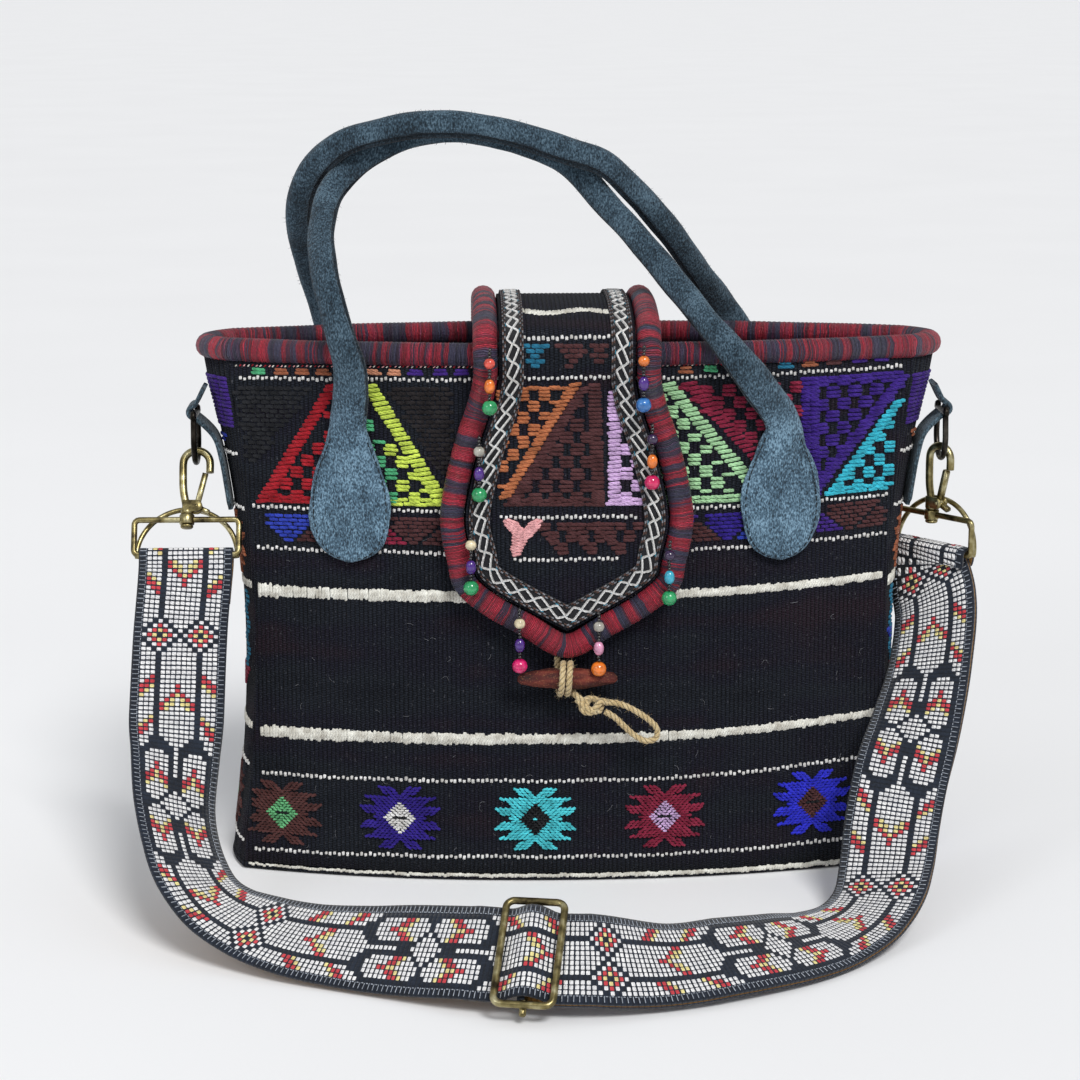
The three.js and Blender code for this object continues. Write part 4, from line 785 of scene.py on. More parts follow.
class Stitches:
    ALONG = np.array([-1.0, -0.72, 0.72, 1.0])
    ACROSS = np.array([-1.0, -0.5, 0.5, 1.0])
    JITTER = np.array([0.15, 0.12, 0.06, 0.04])

    def __init__(self, jitter=1.0):
        self.jitter = jitter
        self.rows = []
        self.names = []

    def add(self, u, v, length, width, colour, angle=0.0, height=1.0):
        if colour not in self.names:
            self.names.append(colour)
        du, dv, stretch, tilt = self.jitter * rng.normal(size=4) * self.JITTER
        self.rows.append((u + du, v + dv, length * (1 + stretch), width, angle + tilt, height,
                          self.names.index(colour)))

    def build(self, name, surface, slot="kilim", reach=None):
        """One mesh of all the floats; reach gives the half width of the cloth at a height"""
        rows = np.array(self.rows)
        if reach is not None:
            far = np.abs(rows[:, 0]) + rows[:, 2] / 2 * np.abs(np.cos(rows[:, 4]))
            rows = rows[far < reach(rows[:, 1])]
        u, v, length, width, angle, height = [rows[:, k][:, None, None] for k in range(6)]
        t, s = np.meshgrid(self.ALONG, self.ACROSS, indexing="ij")
        x = t * length / 2
        y = s * width / 2 * (1 - 0.35 * t ** 4)
        rise = height * np.sqrt(np.maximum(1 - s ** 2, 0)) * np.sqrt(np.maximum(1 - 0.92 * t ** 4, 0))
        rise = np.where((np.abs(t) == 1) | (np.abs(s) == 1), -0.2, rise)
        uu = u + x * np.cos(angle) - y * np.sin(angle)
        vv = v + x * np.sin(angle) + y * np.cos(angle)
        normal = surface_normal(surface, rows[:, 0], rows[:, 1])[:, None, None]
        points = surface(uu, vv) + normal * rise[..., None]
        count, per = len(rows), t.size
        face = grid_faces(*t.shape)[:, ::-1]
        faces = (face[None] + (np.arange(count) * per)[:, None, None]).reshape(-1, 4)
        uv = np.stack([x + 17.0 * np.arange(count)[:, None, None] + 0 * y, y + 0 * x], -1)
        indices = np.repeat(rows[:, 6].astype(int), len(face))
        piece = make_piece(name, points, faces, [WOOL[n] for n in self.names], uv, indices)
        return place(piece, slot)

    # Rows and figures

    def dotted(self, line, start, end, colour="white", pitch=2.4):
        for k, u in enumerate(np.arange(start, end, pitch)):
            lift = 0.3 * (-1) ** k + 0.25 * math.sin(u / 9.0)
            self.add(u, line(u) + lift, 2.0 * rng.uniform(0.75, 1.15), 1.75, colour, math.pi / 2, 1.0)

    def stripe(self, line, start, end, colour="cream", left=7.0, right=4.2):
        """Ragged band of upright floats, higher at its left end"""
        for u in np.arange(start, end, STRIPE_PITCH):
            size = lerp(left, right, (u - start) / (end - start)) * rng.uniform(0.82, 1.12)
            self.add(u, line(u) + rng.normal() * 0.2, size, STRIPE_PITCH * 1.45, colour, math.pi / 2, 0.8)

    def checker(self, line, corners, colour, pitch=6.0, row=2.1, stack=3, cover=1.24):
        """Triangle filled with a checker of blobs, each a few stacked floats"""
        corners = np.array(corners, float)
        low, high = corners.min(0), corners.max(0)
        for j, v in enumerate(np.arange(low[1] + row / 2, high[1], row)):
            for i, u in enumerate(np.arange(low[0] + pitch / 2, high[0], pitch)):
                if (i + j // stack) % 2 == 0 and inside(corners, u, v):
                    middle = 1.0 if j % stack == stack // 2 else 0.9
                    self.add(u, v + line(u), pitch * cover * middle, row * 1.06, colour, 0.0, 1.35)

    def edge(self, line, start, end, colour, length=8.4, row=2.2, tilt=0.16):
        """Slanting border of floats, one in each row"""
        start, end = np.array(start, float), np.array(end, float)
        count = max(int(abs(end[1] - start[1]) / row), 1)
        for k in range(count + 1):
            u, v = lerp(start, end, k / count)
            self.add(u, v + line(u), length, row * 1.12, colour, tilt, 1.25)

    def bar(self, line, start, end, v, colour, rows=2, length=6.0, row=2.1):
        """Level border of floats"""
        for j in range(rows):
            for u in np.arange(start + (j % 2) * length / 2, end, length):
                self.add(u, v + j * row + line(u), length * 1.08, row * 1.08, colour)

    def filled(self, line, corners, colour, pitch=5.0, row=2.4):
        corners = np.array(corners, float)
        low, high = corners.min(0), corners.max(0)
        for j, v in enumerate(np.arange(low[1] + row / 2, high[1], row)):
            for u in np.arange(low[0] + (j % 2) * pitch / 2, high[0], pitch):
                if inside(corners, u, v):
                    self.add(u, v + line(u), pitch * 0.98, row * 0.98, colour)

    def leaf(self, u, v, length, colour, angle):
        """One fat stroke: three floats side by side, the middle one longest"""
        for side, share in ((-1, 0.8), (0, 1.0), (1, 0.84)):
            shift = 1.4 * side
            x, y = u - shift * math.sin(angle), v + shift * math.cos(angle)
            self.add(x, y, length * share, 2.0, colour, angle, 1.3)

    def eye(self, line, u0, v0, colour, heart, wide=1.0):
        """Toothed diamond of floats round a heart; the teeth point outwards and away from the middle"""
        v0 = v0 + line(u0)
        pupil, iris, spot = (1.6, 9.6, colour) if heart == "black" else (2.6, 8.4, "black")
        for j in range(-12, 13):
            v = j * EYE_ROW
            notch = max(abs(v) - 13.0, 0) * 1.2
            for i in range(-9, 10):
                u = (i + 0.5 * (j % 2)) * 2.5
                slope = 0.42 * np.sign(u) * np.sign(v)
                ring = abs(u) + abs(v)
                if ring < pupil:
                    self.add(u0 + u * wide, v0 + v, 2.6, 1.6, spot, 0.0, 1.3)
                elif ring < iris:
                    self.add(u0 + u * wide, v0 + v, 2.5, 1.6, heart, slope, 1.3)
                elif notch <= abs(u) <= EYE_REACH[abs(j)]:
                    self.add(u0 + u * wide, v0 + v, 3.4, 1.7, colour, slope, 1.3)


def inside(corners, u, v):
    signs = []
    for k in range(3):
        (x0, y0), (x1, y1) = corners[k], corners[(k + 1) % 3]
        signs.append((x1 - x0) * (v - y0) - (y1 - y0) * (u - x0))
    return min(signs) >= 0 or max(signs) <= 0


def front_lean(low):
    """Rows climb a little towards the right end, more near the floor"""
    return lambda u: low * np.maximum(u / 175.0, 0) ** 2 - 2.2 * np.maximum(-u / 175.0, 0) ** 2


def straight(u):
    return 0.0 * u


def level(v, lean):
    return lambda u: v + lean(u)


def panel_pattern(stitches):
    """Bands of the front; the back has the same bands"""
    top, mid, low = front_lean(2.5), front_lean(4.0), front_lean(6.0)
    edge = 166.0
    stitches.dotted(level(268.4, top), -174, 176)
    for k, u in enumerate(np.arange(-176, 176, 2.2)):
        stitches.add(u, 275.0 + top(u), 1.5, 0.8, ("cream", "red", "pink")[k % 3], 0.7, 0.5)
    stitches.dotted(level(200.0, top), -168, 170)
    stitches.dotted(level(178.0, mid), -166, 168)
    stitches.stripe(level(155.0, mid), -edge, edge)
    stitches.stripe(level(78.5, low), -edge, edge)
    stitches.dotted(level(55.5, low), -edge, edge + 2)
    stitches.dotted(level(13.5, front_lean(3.0)), -171, 173)
    stitches.stripe(level(2.9, straight), -174, 174, left=1.3, right=3.0)
    big_band(stitches, top)
    small_band(stitches, mid)
    hearts = [(-156, "brown", "leaf"), (-92.5, "indigo", "white"), (-20.5, "turquoise", "black"),
              (48.5, "maroon", "lilac"), (129.0, "ultramarine", "umber")]
    for u, colour, heart in hearts:
        stitches.eye(low, u, 34.5, colour, heart)


def big_band(stitches, lean):
    low, high = 203.5, 265.0
    stitches.filled(lean, [(-176, high), (-134, high), (-176, low + 8)], "pitch")
    stitches.edge(lean, (-163, low), (-125, high), "red")
    stitches.checker(lean, [(-160, low), (-120, low), (-120, high - 4)], "red")
    stitches.bar(lean, -162, -118, low, "red")
    stitches.filled(lean, [(-64, high), (-97, high), (-64, low + 6)], "soot")
    stitches.edge(lean, (-106, high), (-68, low), "lime")
    stitches.checker(lean, [(-110, high - 4), (-110, low), (-88, low)], "green")
    stitches.checker(lean, [(-98, low + 36), (-88, low), (-70, low)], "lime")
    stitches.bar(lean, -104, -66, low, "lime")
    stitches.checker(lean, [(54, high), (120, high), (113, low + 4)], "maroon", cover=1.3)
    stitches.edge(lean, (60, high), (108, low + 8), "maroon")
    stitches.edge(lean, (49, high), (92, low + 10), "pale_green")
    stitches.checker(lean, [(42, high), (42, low), (88, low + 6)], "pale_green")
    stitches.bar(lean, 42, 96, low, "pale_green")
    stitches.checker(lean, [(122, high), (180, high), (126, low)], "purple", cover=1.36)
    stitches.edge(lean, (176, high - 2), (128, low + 2), "purple")
    for u in (121.5, 126.5):
        stitches.edge(lean, (u, high), (u + 2, low), "purple", 5.6, tilt=0.0)
    stitches.bar(lean, 122, 178, high - 2.2, "purple")
    stitches.edge(lean, (179, high - 9), (137, low), "cyan", 7.4)
    stitches.checker(lean, [(178, high - 14), (138, low), (178, low)], "cyan", 5.6)
    stitches.bar(lean, 136, 177, low, "cyan")


PATCHES = [
    (-164, "green"), (-152, "rust"), (-141, "rust"), (-130, "rust"), (-104, "salmon"), (-93, "salmon"),
    (-82, "violet"), (-69, "violet"), (-58, "violet"), (58, "rust"), (71, "green"), (84, "rust"),
    (97, "umber"), (111, "teal"), (124, "rust"), (137, "umber"), (151, "violet"), (163, "violet")]


def small_band(stitches, lean):
    """Low row of slanting blocks between two dotted lines, and the patches under the rim"""
    colours = ["blue", "violet", "umber", "umber", "maroon", "umber", "violet", "indigo", "umber", "umber"]
    for k, u in enumerate(np.arange(-165, 160, 33.0)):
        hanging = [(u, 196.0), (u + 31, 196.0), (u + 15, 182.0)]
        standing = [(u + 17, 182.0), (u + 47, 182.0), (u + 32, 195.0)]
        stitches.filled(lean, hanging, colours[k % 10], row=2.1)
        stitches.filled(lean, standing, colours[(k + 3) % 10], row=2.1)
    for u, colour in PATCHES:
        stitches.add(u, 271.3 + lean(u), 8.8, 2.2, colour)
        stitches.add(u, 273.1 + lean(u), 7.0, 2.0, colour)


def gusset_pattern(stitches, side):
    half = lambda v: float(crease_depth(v / BODY_HEIGHT)) - 2.5
    for v in (225.0, 196.0, 57.0, 15.0):
        stitches.dotted(level(v, straight), -half(v), half(v))
    for v in (155.0, 78.5):
        stitches.stripe(level(v, straight), -half(v), half(v))
    for v in np.arange(240, 267, 2.1):
        for u in np.arange(-16.5, 17.0, 5.5):
            stitches.add(u, v, 5.7, 2.3, "violet")
    stitches.filled(straight, [(-16, 236), (0, 236), (-8, 228)], "rust")
    stitches.filled(straight, [(0, 236), (16, 236), (8, 228)], "blue")
    stitches.eye(straight, 0.0, 176.0, "rust", "brown", 0.85)
    for k in range(18):
        stitches.add(-side * (16 + 2.2 * math.sin(k * 1.05)), 150 - k * 2.4, 6.0, 2.4, "teal")
    stitches.filled(straight, [(-22, 108), (22, 108), (0, 92)], "maroon")
    stitches.filled(straight, [(-24, 128), (-6, 128), (-15, 114)], "blue")
    stitches.eye(straight, 0.0, 36.0, "ultramarine" if side > 0 else "brown", "leaf")


# Body panels

def cloth_grid(surface, reach, inset, ribs, waver):
    """Points of a panel from one crease to the other, with the ribs of the weave on it"""
    heights = np.linspace(PANEL_BOTTOM, CLOTH_TOP, PANEL_ROWS)
    share = np.linspace(-1, 1, ribs * 3 + 1)
    edge = reach(heights)[:, None] - EDGE_MARGIN
    u = lerp(-edge, edge, (share[None] + 1) / 2)
    v = np.broadcast_to(heights[:, None], u.shape)
    normal = surface_normal(surface, u, v)
    rib = 0.35 * np.abs(np.sin(np.pi * ribs * (share + 1) / 2))[None, :, None]
    ripple = waver * (np.sin(u / 31 + v / 47) * np.sin(v / 39 + 1.2) + 0.5 * np.sin(u / 13 - v / 21))
    fade = (1 - share[None] ** 8) * np.clip((BODY_HEIGHT - v) / 30, 0, 1) * np.clip(v / 30, 0, 1)
    out = surface(u, v) + normal * (rib - 0.35 - inset + (ripple * fade)[..., None])
    return out, np.stack([u, v], -1)


def add_panel(name, surface, reach, ribs, node):
    outer, uv = cloth_grid(surface, reach, 0.0, ribs, 0.25)
    inner, _ = cloth_grid(surface, reach, CLOTH - 0.6, ribs, 0.0)
    add_solid(name, sheet_solid(outer, inner, uv), GROUND, "kilim", node)


def add_body():
    wide = lambda z: crease_half_width(z / BODY_HEIGHT)
    deep = lambda z: crease_depth(z / BODY_HEIGHT)
    add_panel("front_cloth", front_surface, wide, PANEL_RIBS, "front_panel")
    add_panel("back_cloth", back_surface, wide, PANEL_RIBS, "back_panel")
    for side, name in ((-1, "left"), (1, "right")):
        surface = gusset_surface(side)
        add_panel(f"{name}_end_cloth", surface, deep, GUSSET_RIBS, f"{name}_gusset")
        stitches = Stitches()
        gusset_pattern(stitches, side)
        stitches.build(f"{name}_end_stitches", surface, reach=deep)
    for name, surface in (("front", front_surface), ("back", back_surface)):
        stitches = Stitches()
        panel_pattern(stitches)
        stitches.build(f"{name}_stitches", surface, reach=wide)
        add_lint(f"{name}_lint", surface)
    add_base()
    add_lining()
    add_rim()


def add_lint(name, surface, count=120):
    """Stray pale fibres caught on the cloth"""
    parts = []
    for _ in range(count):
        u, v = rng.uniform(-160, 160), rng.uniform(10, 262)
        turn, size, bend = rng.uniform(0, math.pi), rng.uniform(1.5, 4.5), rng.normal()
        step = np.linspace(-0.5, 0.5, 4) * size
        du = step * math.cos(turn) - bend * step ** 2 / size * math.sin(turn)
        dv = step * math.sin(turn) + bend * step ** 2 / size * math.cos(turn)
        line = surface(u + du, v + dv) + surface_normal(surface, u + du, v + dv) * 0.25
        parts.append(rod(line, 0.09, 3))
    add_solid(name, merge(parts), LINT, "kilim")


def outline(share, inset=0.0, panel=60, end=12):
    """Outline of the body at one height, counter-clockwise from above"""
    width, depth, bulge = crease_half_width(share), crease_depth(share), end_bulge(share)
    a = -1 + 2 * np.arange(panel) / panel
    b = -1 + 2 * np.arange(end) / end
    front = np.stack([a * width, -lerp(half_depth(share), depth, np.abs(a) ** 2.2)], 1)
    side = np.stack([width + bulge * (1 - b * b), b * depth], 1)
    half = np.vstack([front, side])
    points = np.vstack([half, -half])
    before = unit(points - np.roll(points, 1, 0))
    after = unit(np.roll(points, -1, 0) - points)
    inward = unit(np.stack([-before[:, 1] - after[:, 1], before[:, 0] + after[:, 0]], 1))
    stretch = np.sum(inward * np.stack([-after[:, 1], after[:, 0]], 1), axis=1, keepdims=True)
    return points + inward * inset / stretch


def add_base():
    """Low tray under the panels, closed by flat fans"""
    plan = outline(0.0)
    middle = plan * np.array([[0.55, 0.4]])
    loops = [(middle, 0.2), (outline(0.0, 2.0), 0.0), (outline(0.0, 0.3), 0.9), (plan, 2.0),
             (outline(0.0, 0.3), 3.2), (outline(0.0, 2.0), 4.0), (middle, 4.0)]
    points = np.array([np.column_stack([loop, np.full(len(plan), z)]) for loop, z in loops])
    add_solid("base_cloth", capped(points, points[..., :2]), GROUND, "kilim", "base_panel")


def add_lining():
    """Suede bucket: up its outside, then down its inside"""

    def wall(low, inset):
        plans = [(outline(z / BODY_HEIGHT, inset), z) for z in np.linspace(low, CLOTH_TOP, 20)]
        return [np.column_stack([plan, np.full(len(plan), z)]) for plan, z in plans]

    inset = CLOTH + GAP
    points = np.array(wall(PANEL_BOTTOM, inset) + wall(PANEL_BOTTOM + LINING, inset + LINING)[::-1])
    around = np.arange(points.shape[1]) * 7.5
    uv = np.stack([np.broadcast_to(around, points.shape[:2]), points[..., 2]], -1)
    add_solid("lining_suede", capped(points, uv), LINING_SUEDE, "lining", "suede_lining")


def coils(angle, run):
    """Shape of a wound roll: uneven ridges of a few threads each"""
    ridge = np.abs(np.sin(np.pi * (run + 1.1 * np.sin(run / 9.0) + 0.3 * np.sin(angle + run / 14)) / COIL))
    return 0.945 + 0.045 * ridge + 0.012 * np.sin(run / 11.0 + 2 * angle)


def add_rim():
    middle = outline(1.0, (CLOTH + LINING) / 2)
    ring = Route(np.column_stack([middle, np.full(len(middle), RIM_HEIGHT)]), closed=True).even(1600)[:-1]
    add_solid("rim_yarn", rod(ring, ROLL_RADIUS, 16, True, coils), RIM_YARN, "yarn", "rim_piping")


add_body()


# Flap

def flap_profile():
    depth = TOP_HALF_DEPTH - (CLOTH + LINING) / 2
    over = RIM_RADIUS + FLAP_STANDOFF + 0.6

    def on_face(z, side):
        return (0, side * (float(face_depth(0.0, z)) + FLAP_STANDOFF), z)

    def round_rim(degrees, side):
        angle = math.radians(degrees)
        return (0, side * (depth + over * math.cos(angle)), RIM_HEIGHT + over * math.sin(angle))

    fronts = [on_face(z, -1) for z in (255, 235, 210, 185, 160, 145, FLAP_TIP)]
    up = [on_face(240, 1), on_face(255, 1), *[round_rim(a, 1) for a in (0, 40, 75)]]
    down = [*[round_rim(a, -1) for a in (75, 40, 0)], *fronts]
    return Route([*up, (0, 20, FLAP_CROWN), (0, -20, FLAP_CROWN), *down])


PROFILE = flap_profile()
SHARES = np.linspace(0, 1, 1201)
PROFILE_LINE = PROFILE.even(1201)


def share_at(z):
    """Share of the profile where its front comes down to a height"""
    return SHARES[np.nonzero(PROFILE_LINE[:, 2] >= z)[0][-1]]


def spline_values(points, count=400):
    """Uniform Catmull-Rom values, sampled"""
    p = np.array(points, float)
    p = np.vstack([p[0], p, p[-1]])
    t = np.linspace(0, len(points) - 1, count + 1)
    i = np.minimum(t.astype(int), len(points) - 2)
    w = (t - i)[:, None]
    p0, p1, p2, p3 = p[i], p[i + 1], p[i + 2], p[i + 3]
    v0, v1 = (p2 - p0) / 2, (p3 - p1) / 2
    return (2 * p1 - 2 * p2 + v0 + v1) * w ** 3 + (3 * p2 - 3 * p1 - 2 * v0 - v1) * w ** 2 + v0 * w + p1


HALF_WIDTHS = spline_values([
    (0, 42), (share_at(FLAP_CROWN - 8), 42), (share_at(265), 43), (share_at(232.5), 52.75),
    (share_at(200), 59.5), (share_at(179), 56.5), (share_at(158), 48), (1, 0)])


def flap_half_width(share):
    return np.interp(share, HALF_WIDTHS[:, 0], HALF_WIDTHS[:, 1])


def flap_inset(share, distance):
    """Half width of what stays at a distance inside the flap's edge"""
    share = np.asarray(share, float)
    half = flap_half_width(share) - distance
    for k in range(-16, 17):
        away = distance * k / 16
        nearby = share + away / PROFILE.length
        narrower = flap_half_width(np.clip(nearby, 0, 1)) - math.sqrt(distance ** 2 - away ** 2)
        half = np.where((nearby >= 0) & (nearby <= 1), np.minimum(half, narrower), half)
    return half


def flap_tip(distance):
    return SHARES[np.nonzero(flap_inset(SHARES, distance) >= 0)[0][-1]]


def flap_point(x, share, out):
    """Point at x from the middle, at a share of the profile, and so far out of the cloth"""
    x, share, out = np.broadcast_arrays(*[np.asarray(a, float) for a in (x, share, out)])
    u = PROFILE.share(share.ravel())
    spot = PROFILE.at(u).reshape(x.shape + (3,))
    tangent = PROFILE.tangent(u).reshape(x.shape + (3,))
    normal = np.stack([np.zeros_like(x), tangent[..., 2], -tangent[..., 1]], -1)
    recede = face_depth(0.0, spot[..., 2]) - face_depth(x + FRONT_MIDDLE, spot[..., 2])
    side = np.clip(-spot[..., 1] / TOP_HALF_DEPTH, -1, 1)
    base = np.stack([x + FRONT_MIDDLE, spot[..., 1] + recede * side, spot[..., 2]], -1)
    return base + normal * out[..., None]


def flap_surface(u, v):
    """u across from the flap's middle, v up from the point along the cloth"""
    return flap_point(u, np.clip(1 - v / PROFILE.length, 0, 1), FLAP_CLOTH / 2)


def rise_at(z):
    return PROFILE.length * (1 - share_at(z))


def flap_sheet(inset, low, high, columns, rows, ribbed):
    tip = flap_tip(inset)
    near = tip - 0.1
    shares = np.concatenate([np.linspace(tip, near, 16, endpoint=False), np.linspace(near, 0.0, rows)])
    half = np.maximum(flap_inset(shares, inset), 0.5)
    a = np.linspace(-1, 1, columns)
    x = half[:, None] * a[None]
    s = np.broadcast_to(shares[:, None], x.shape)
    rib = ribbed * (np.abs(np.sin(np.pi * x / RIB)) - 1) * 0.3
    outer, inner = flap_point(x, s, high + rib), flap_point(x, s, low)
    uv = np.stack([x, (1 - s) * PROFILE.length], -1)
    return sheet_solid(outer, inner, uv)


def add_flap():
    inset = FLAP_PIPING + 2 * GAP
    half = FLAP_CLOTH / 2
    add_solid("flap_cloth", flap_sheet(inset, -half, half, 161, 80, 1.0), GROUND, "kilim", "flap_panel")
    low, high = -half - GAP - FLAP_LINING, -half - GAP
    lining = flap_sheet(inset, low, high, 25, 60, 0.0)
    add_solid("flap_suede", lining, LINING_SUEDE, "lining", "flap_lining")
    steps = np.linspace(0, 1, 181)
    side = flap_half_width(steps)
    edge = np.vstack([flap_point(side, steps, 0.0), flap_point(-side[-2::-1], steps[-2::-1], 0.0)])
    piping = rod(Route(edge[::6]).even(1100), FLAP_PIPING, 16, shape=coils)
    add_solid("flap_edge_yarn", piping, FLAP_YARN, "yarn", "flap_piping")
    stitches = Stitches()
    flap_pattern(stitches)
    stitches.build("flap_stitches", flap_surface)
    add_trim(inset + 1.5)


def flap_pattern(stitches):
    at = rise_at
    crown = at(292) + 22
    stitches.stripe(lambda u: crown + 2.2 * np.sin(u / 6.0), -22, 24, left=5.6, right=5.0)
    stitches.dotted(level(at(290.5), straight), -22, 23)
    stitches.filled(straight, [(-24, at(288)), (-9, at(288)), (-16, at(274))], "teal")
    stitches.filled(straight, [(-7, at(288)), (10, at(288)), (2, at(274))], "umber")
    stitches.filled(straight, [(11, at(288)), (22, at(288)), (17, at(274))], "umber")
    stitches.dotted(level(at(271.5), straight), -22, 23)
    low, high = at(205), at(268)
    stitches.checker(straight, [(-34, high), (0, high), (-36, low + 4)], "orange", 5.4)
    stitches.bar(straight, -24, 4, high - 2, "orange", 1)
    stitches.edge(straight, (4, high), (-32, low + 4), "orange", 7.0)
    stitches.checker(straight, [(8, high - 4), (-30, low), (17, low)], "umber", 5.4, cover=1.5)
    stitches.edge(straight, (9, high - 2), (-27, low + 2), "umber", 7.0)
    stitches.bar(straight, -30, 17, low, "umber")
    stitches.edge(straight, (14, high), (16, low), "umber", 7.0, tilt=0.0)
    for v in np.arange(low + 2, high - 4, 2.2):
        stitches.add(24.5, v, 7.0, 2.3, "lilac", 0.1, 1.2)
    stitches.checker(straight, [(28, low), (46, low), (28, high)], "lilac", 5.6)
    stitches.bar(straight, 22, 42, low, "lilac", 2, 5.0)
    stitches.dotted(level(at(198.5), straight), -34, 36)
    for k in range(5):
        stitches.leaf(-29.0 + 1.3 * k, at(195) - 1.4 * k, 9.0, "pink", -0.35)
        stitches.leaf(-16.5 - 1.2 * k, at(195) - 1.4 * k, 9.0, "pink", 0.5)
    for k in range(6):
        stitches.leaf(-24.0 - 0.5 * k, at(188.5) - 1.6 * k, 10.0 - 0.7 * k, "pink", 0.2)
    for u in (-2, 13, 28):
        corners = [(u - 12, at(195.5)), (u + 12, at(195.5)), (u, at(179))]
        stitches.checker(straight, corners, "umber", 4.6, cover=1.35)
        stitches.edge(straight, (u - 13, at(195)), (u, at(180)), "umber", 6.0)
    stitches.dotted(level(at(176.5), straight), -27, 28)


def trim_line(inset, count=700):
    """Centre line of the woven trim in flap coordinates (x, share), left side down and right side up"""
    tip = flap_tip(inset)
    near = tip - 0.06
    shares = np.concatenate([np.linspace(0.0, near, count // 2), np.linspace(near, tip, 50)[1:]])
    half = np.maximum(flap_inset(shares, inset), 0)
    half[-1] = 0
    x = np.concatenate([-half, half[-2::-1]])
    return x, np.concatenate([shares, shares[-2::-1]])


def add_trim(inset):
    low = FLAP_CLOTH / 2 + GAP
    outer_x, outer_s = trim_line(inset)
    inner_x, inner_s = trim_line(inset + TRIM_WIDTH)
    across = np.linspace(0, 1, TRIM_COLUMNS + 1)[None]
    x = lerp(outer_x[:, None], inner_x[:, None], across)
    s = lerp(outer_s[:, None], inner_s[:, None], across)
    upper, lower = flap_point(x, s, low + 1.0), flap_point(x, s, low)
    run = distances(upper[:, TRIM_COLUMNS // 2])
    uv = np.stack(np.broadcast_arrays(run[:, None], across * TRIM_WIDTH), -1)
    add_solid("trim_ribbon", sheet_solid(upper, lower, uv), RIBBON, "ribbon", "flap_trim")
    add_trim_threads(x, s, run, low + 1.0)


def add_trim_threads(x, s, run, out):
    """White threads crossing in a lattice, blue flecks in it, and dashed lines near each edge"""

    def along(distance, across):
        column = np.clip(across / TRIM_WIDTH, 0, 1) * TRIM_COLUMNS
        k = np.interp(distance, run, np.arange(len(run)))
        i, j = np.minimum(k.astype(int), len(run) - 2), np.minimum(column.astype(int), TRIM_COLUMNS - 1)
        a, b = k - i, column - j
        pick = lambda grid: ((1 - a) * (1 - b) * grid[i, j] + a * (1 - b) * grid[i + 1, j]
                             + (1 - a) * b * grid[i, j + 1] + a * b * grid[i + 1, j + 1])
        return flap_point(pick(x), pick(s), out + 0.35)

    distance = np.arange(0, run[-1], 0.5)
    wave = np.abs((distance / TRIM_PERIOD) % 1.0 - 0.5) * 4 - 1
    wave = np.sign(wave) * np.abs(wave) ** 0.85
    twist = lambda angle, run: 1.0 + 0.12 * np.sin(run * 3.1 + 2 * angle)
    lines = [along(distance, TRIM_WIDTH / 2 + swing * wave) for swing in (3.0, -3.0)]
    zigzag = merge([rod(line, 0.64, 6, shape=twist) for line in lines])
    add_solid("trim_zigzag", zigzag, WHITE_THREAD, "ribbon")
    parts, marks = [], []
    for across, phase in ((0.5, 0), (1.5, 3), (TRIM_WIDTH - 1.5, 1), (TRIM_WIDTH - 0.5, 4)):
        parts.append(rod(along(distance, np.full(len(distance), across)), 0.42, 4))
        dashes = ((np.arange(len(distance) - 1) + phase) // 3) % 3
        marks.append(np.concatenate([np.repeat(dashes, 4), np.zeros(8, int)]))
    points, faces, uv = merge(parts)
    threads = [SILVER_THREAD, WOOL["black"], BROWN_THREAD]
    place(make_piece("trim_edge_lines", points, faces, threads, uv, np.concatenate(marks)), "ribbon")
    parts = []
    for k, spot in enumerate(np.arange(TRIM_PERIOD / 4, run[-1] - 4, TRIM_PERIOD / 4)):
        side = TRIM_WIDTH / 2 + 3.5 * (-1) ** (k // 2) * (k % 2)
        line = along(spot + np.linspace(-1.1, 1.1, 5), np.full(5, side))
        parts.append(rod(line, 0.42, 6))
    add_solid("trim_flecks", merge(parts), TEAL_THREAD, "ribbon")


add_flap()


# Handles

PAD_STATIONS = np.array([0, 0.06, 0.2, 0.4, 0.6, 0.8, 1])
PAD_END = len(PAD_STATIONS) - 1
PAD_BOTTOM, PAD_LENGTH, PAD_HALF_SPAN, PAD_HALF_WIDTH = 172.0, 72.0, 113.0, 21.8
PAD_HALF_THICKNESS, HANDLE_HALF_THICKNESS, HANDLE_HALF_WIDTH = 2.0, 4.5, 7.0
SEAM_STATION = 6.2             # the seam and the painted shade of the fold start behind a pad
HANDLE_ROWS, HANDLE_SIDES = 340, 36
SEAM_ANGLE = 0.8               # round the roll, from its lower edge to the seam that faces the other handle
DROP_STATIONS = np.array([0, 0.015, 0.04, 0.08, 0.14, 0.22, 0.32, 0.42, 0.52, 0.62, 0.72, 0.82, 0.92, 1])
DROP_SHAPE = np.array([0.1, 0.3, 0.5, 0.67, 0.82, 0.93, 0.99, 1, 0.97, 0.9, 0.79, 0.66, 0.53, 0.44])
FRONT_ARCH = [
    (-115, -50, 272), (-119, -51, 289), (-124, -47, 307), (-128.5, -38, 325), (-130, -22, 344),
    (-124.5, -5, 363), (-110, 4, 377.5), (-88, 7, 388.5), (-61, 8, 393), (-29, 8, 387), (0, 6, 374.5),
    (16, 0, 357.5), (33.5, -12, 339), (54, -30, 315), (69, -46, 297), (82, -55, 282), (93, -53, 268)]
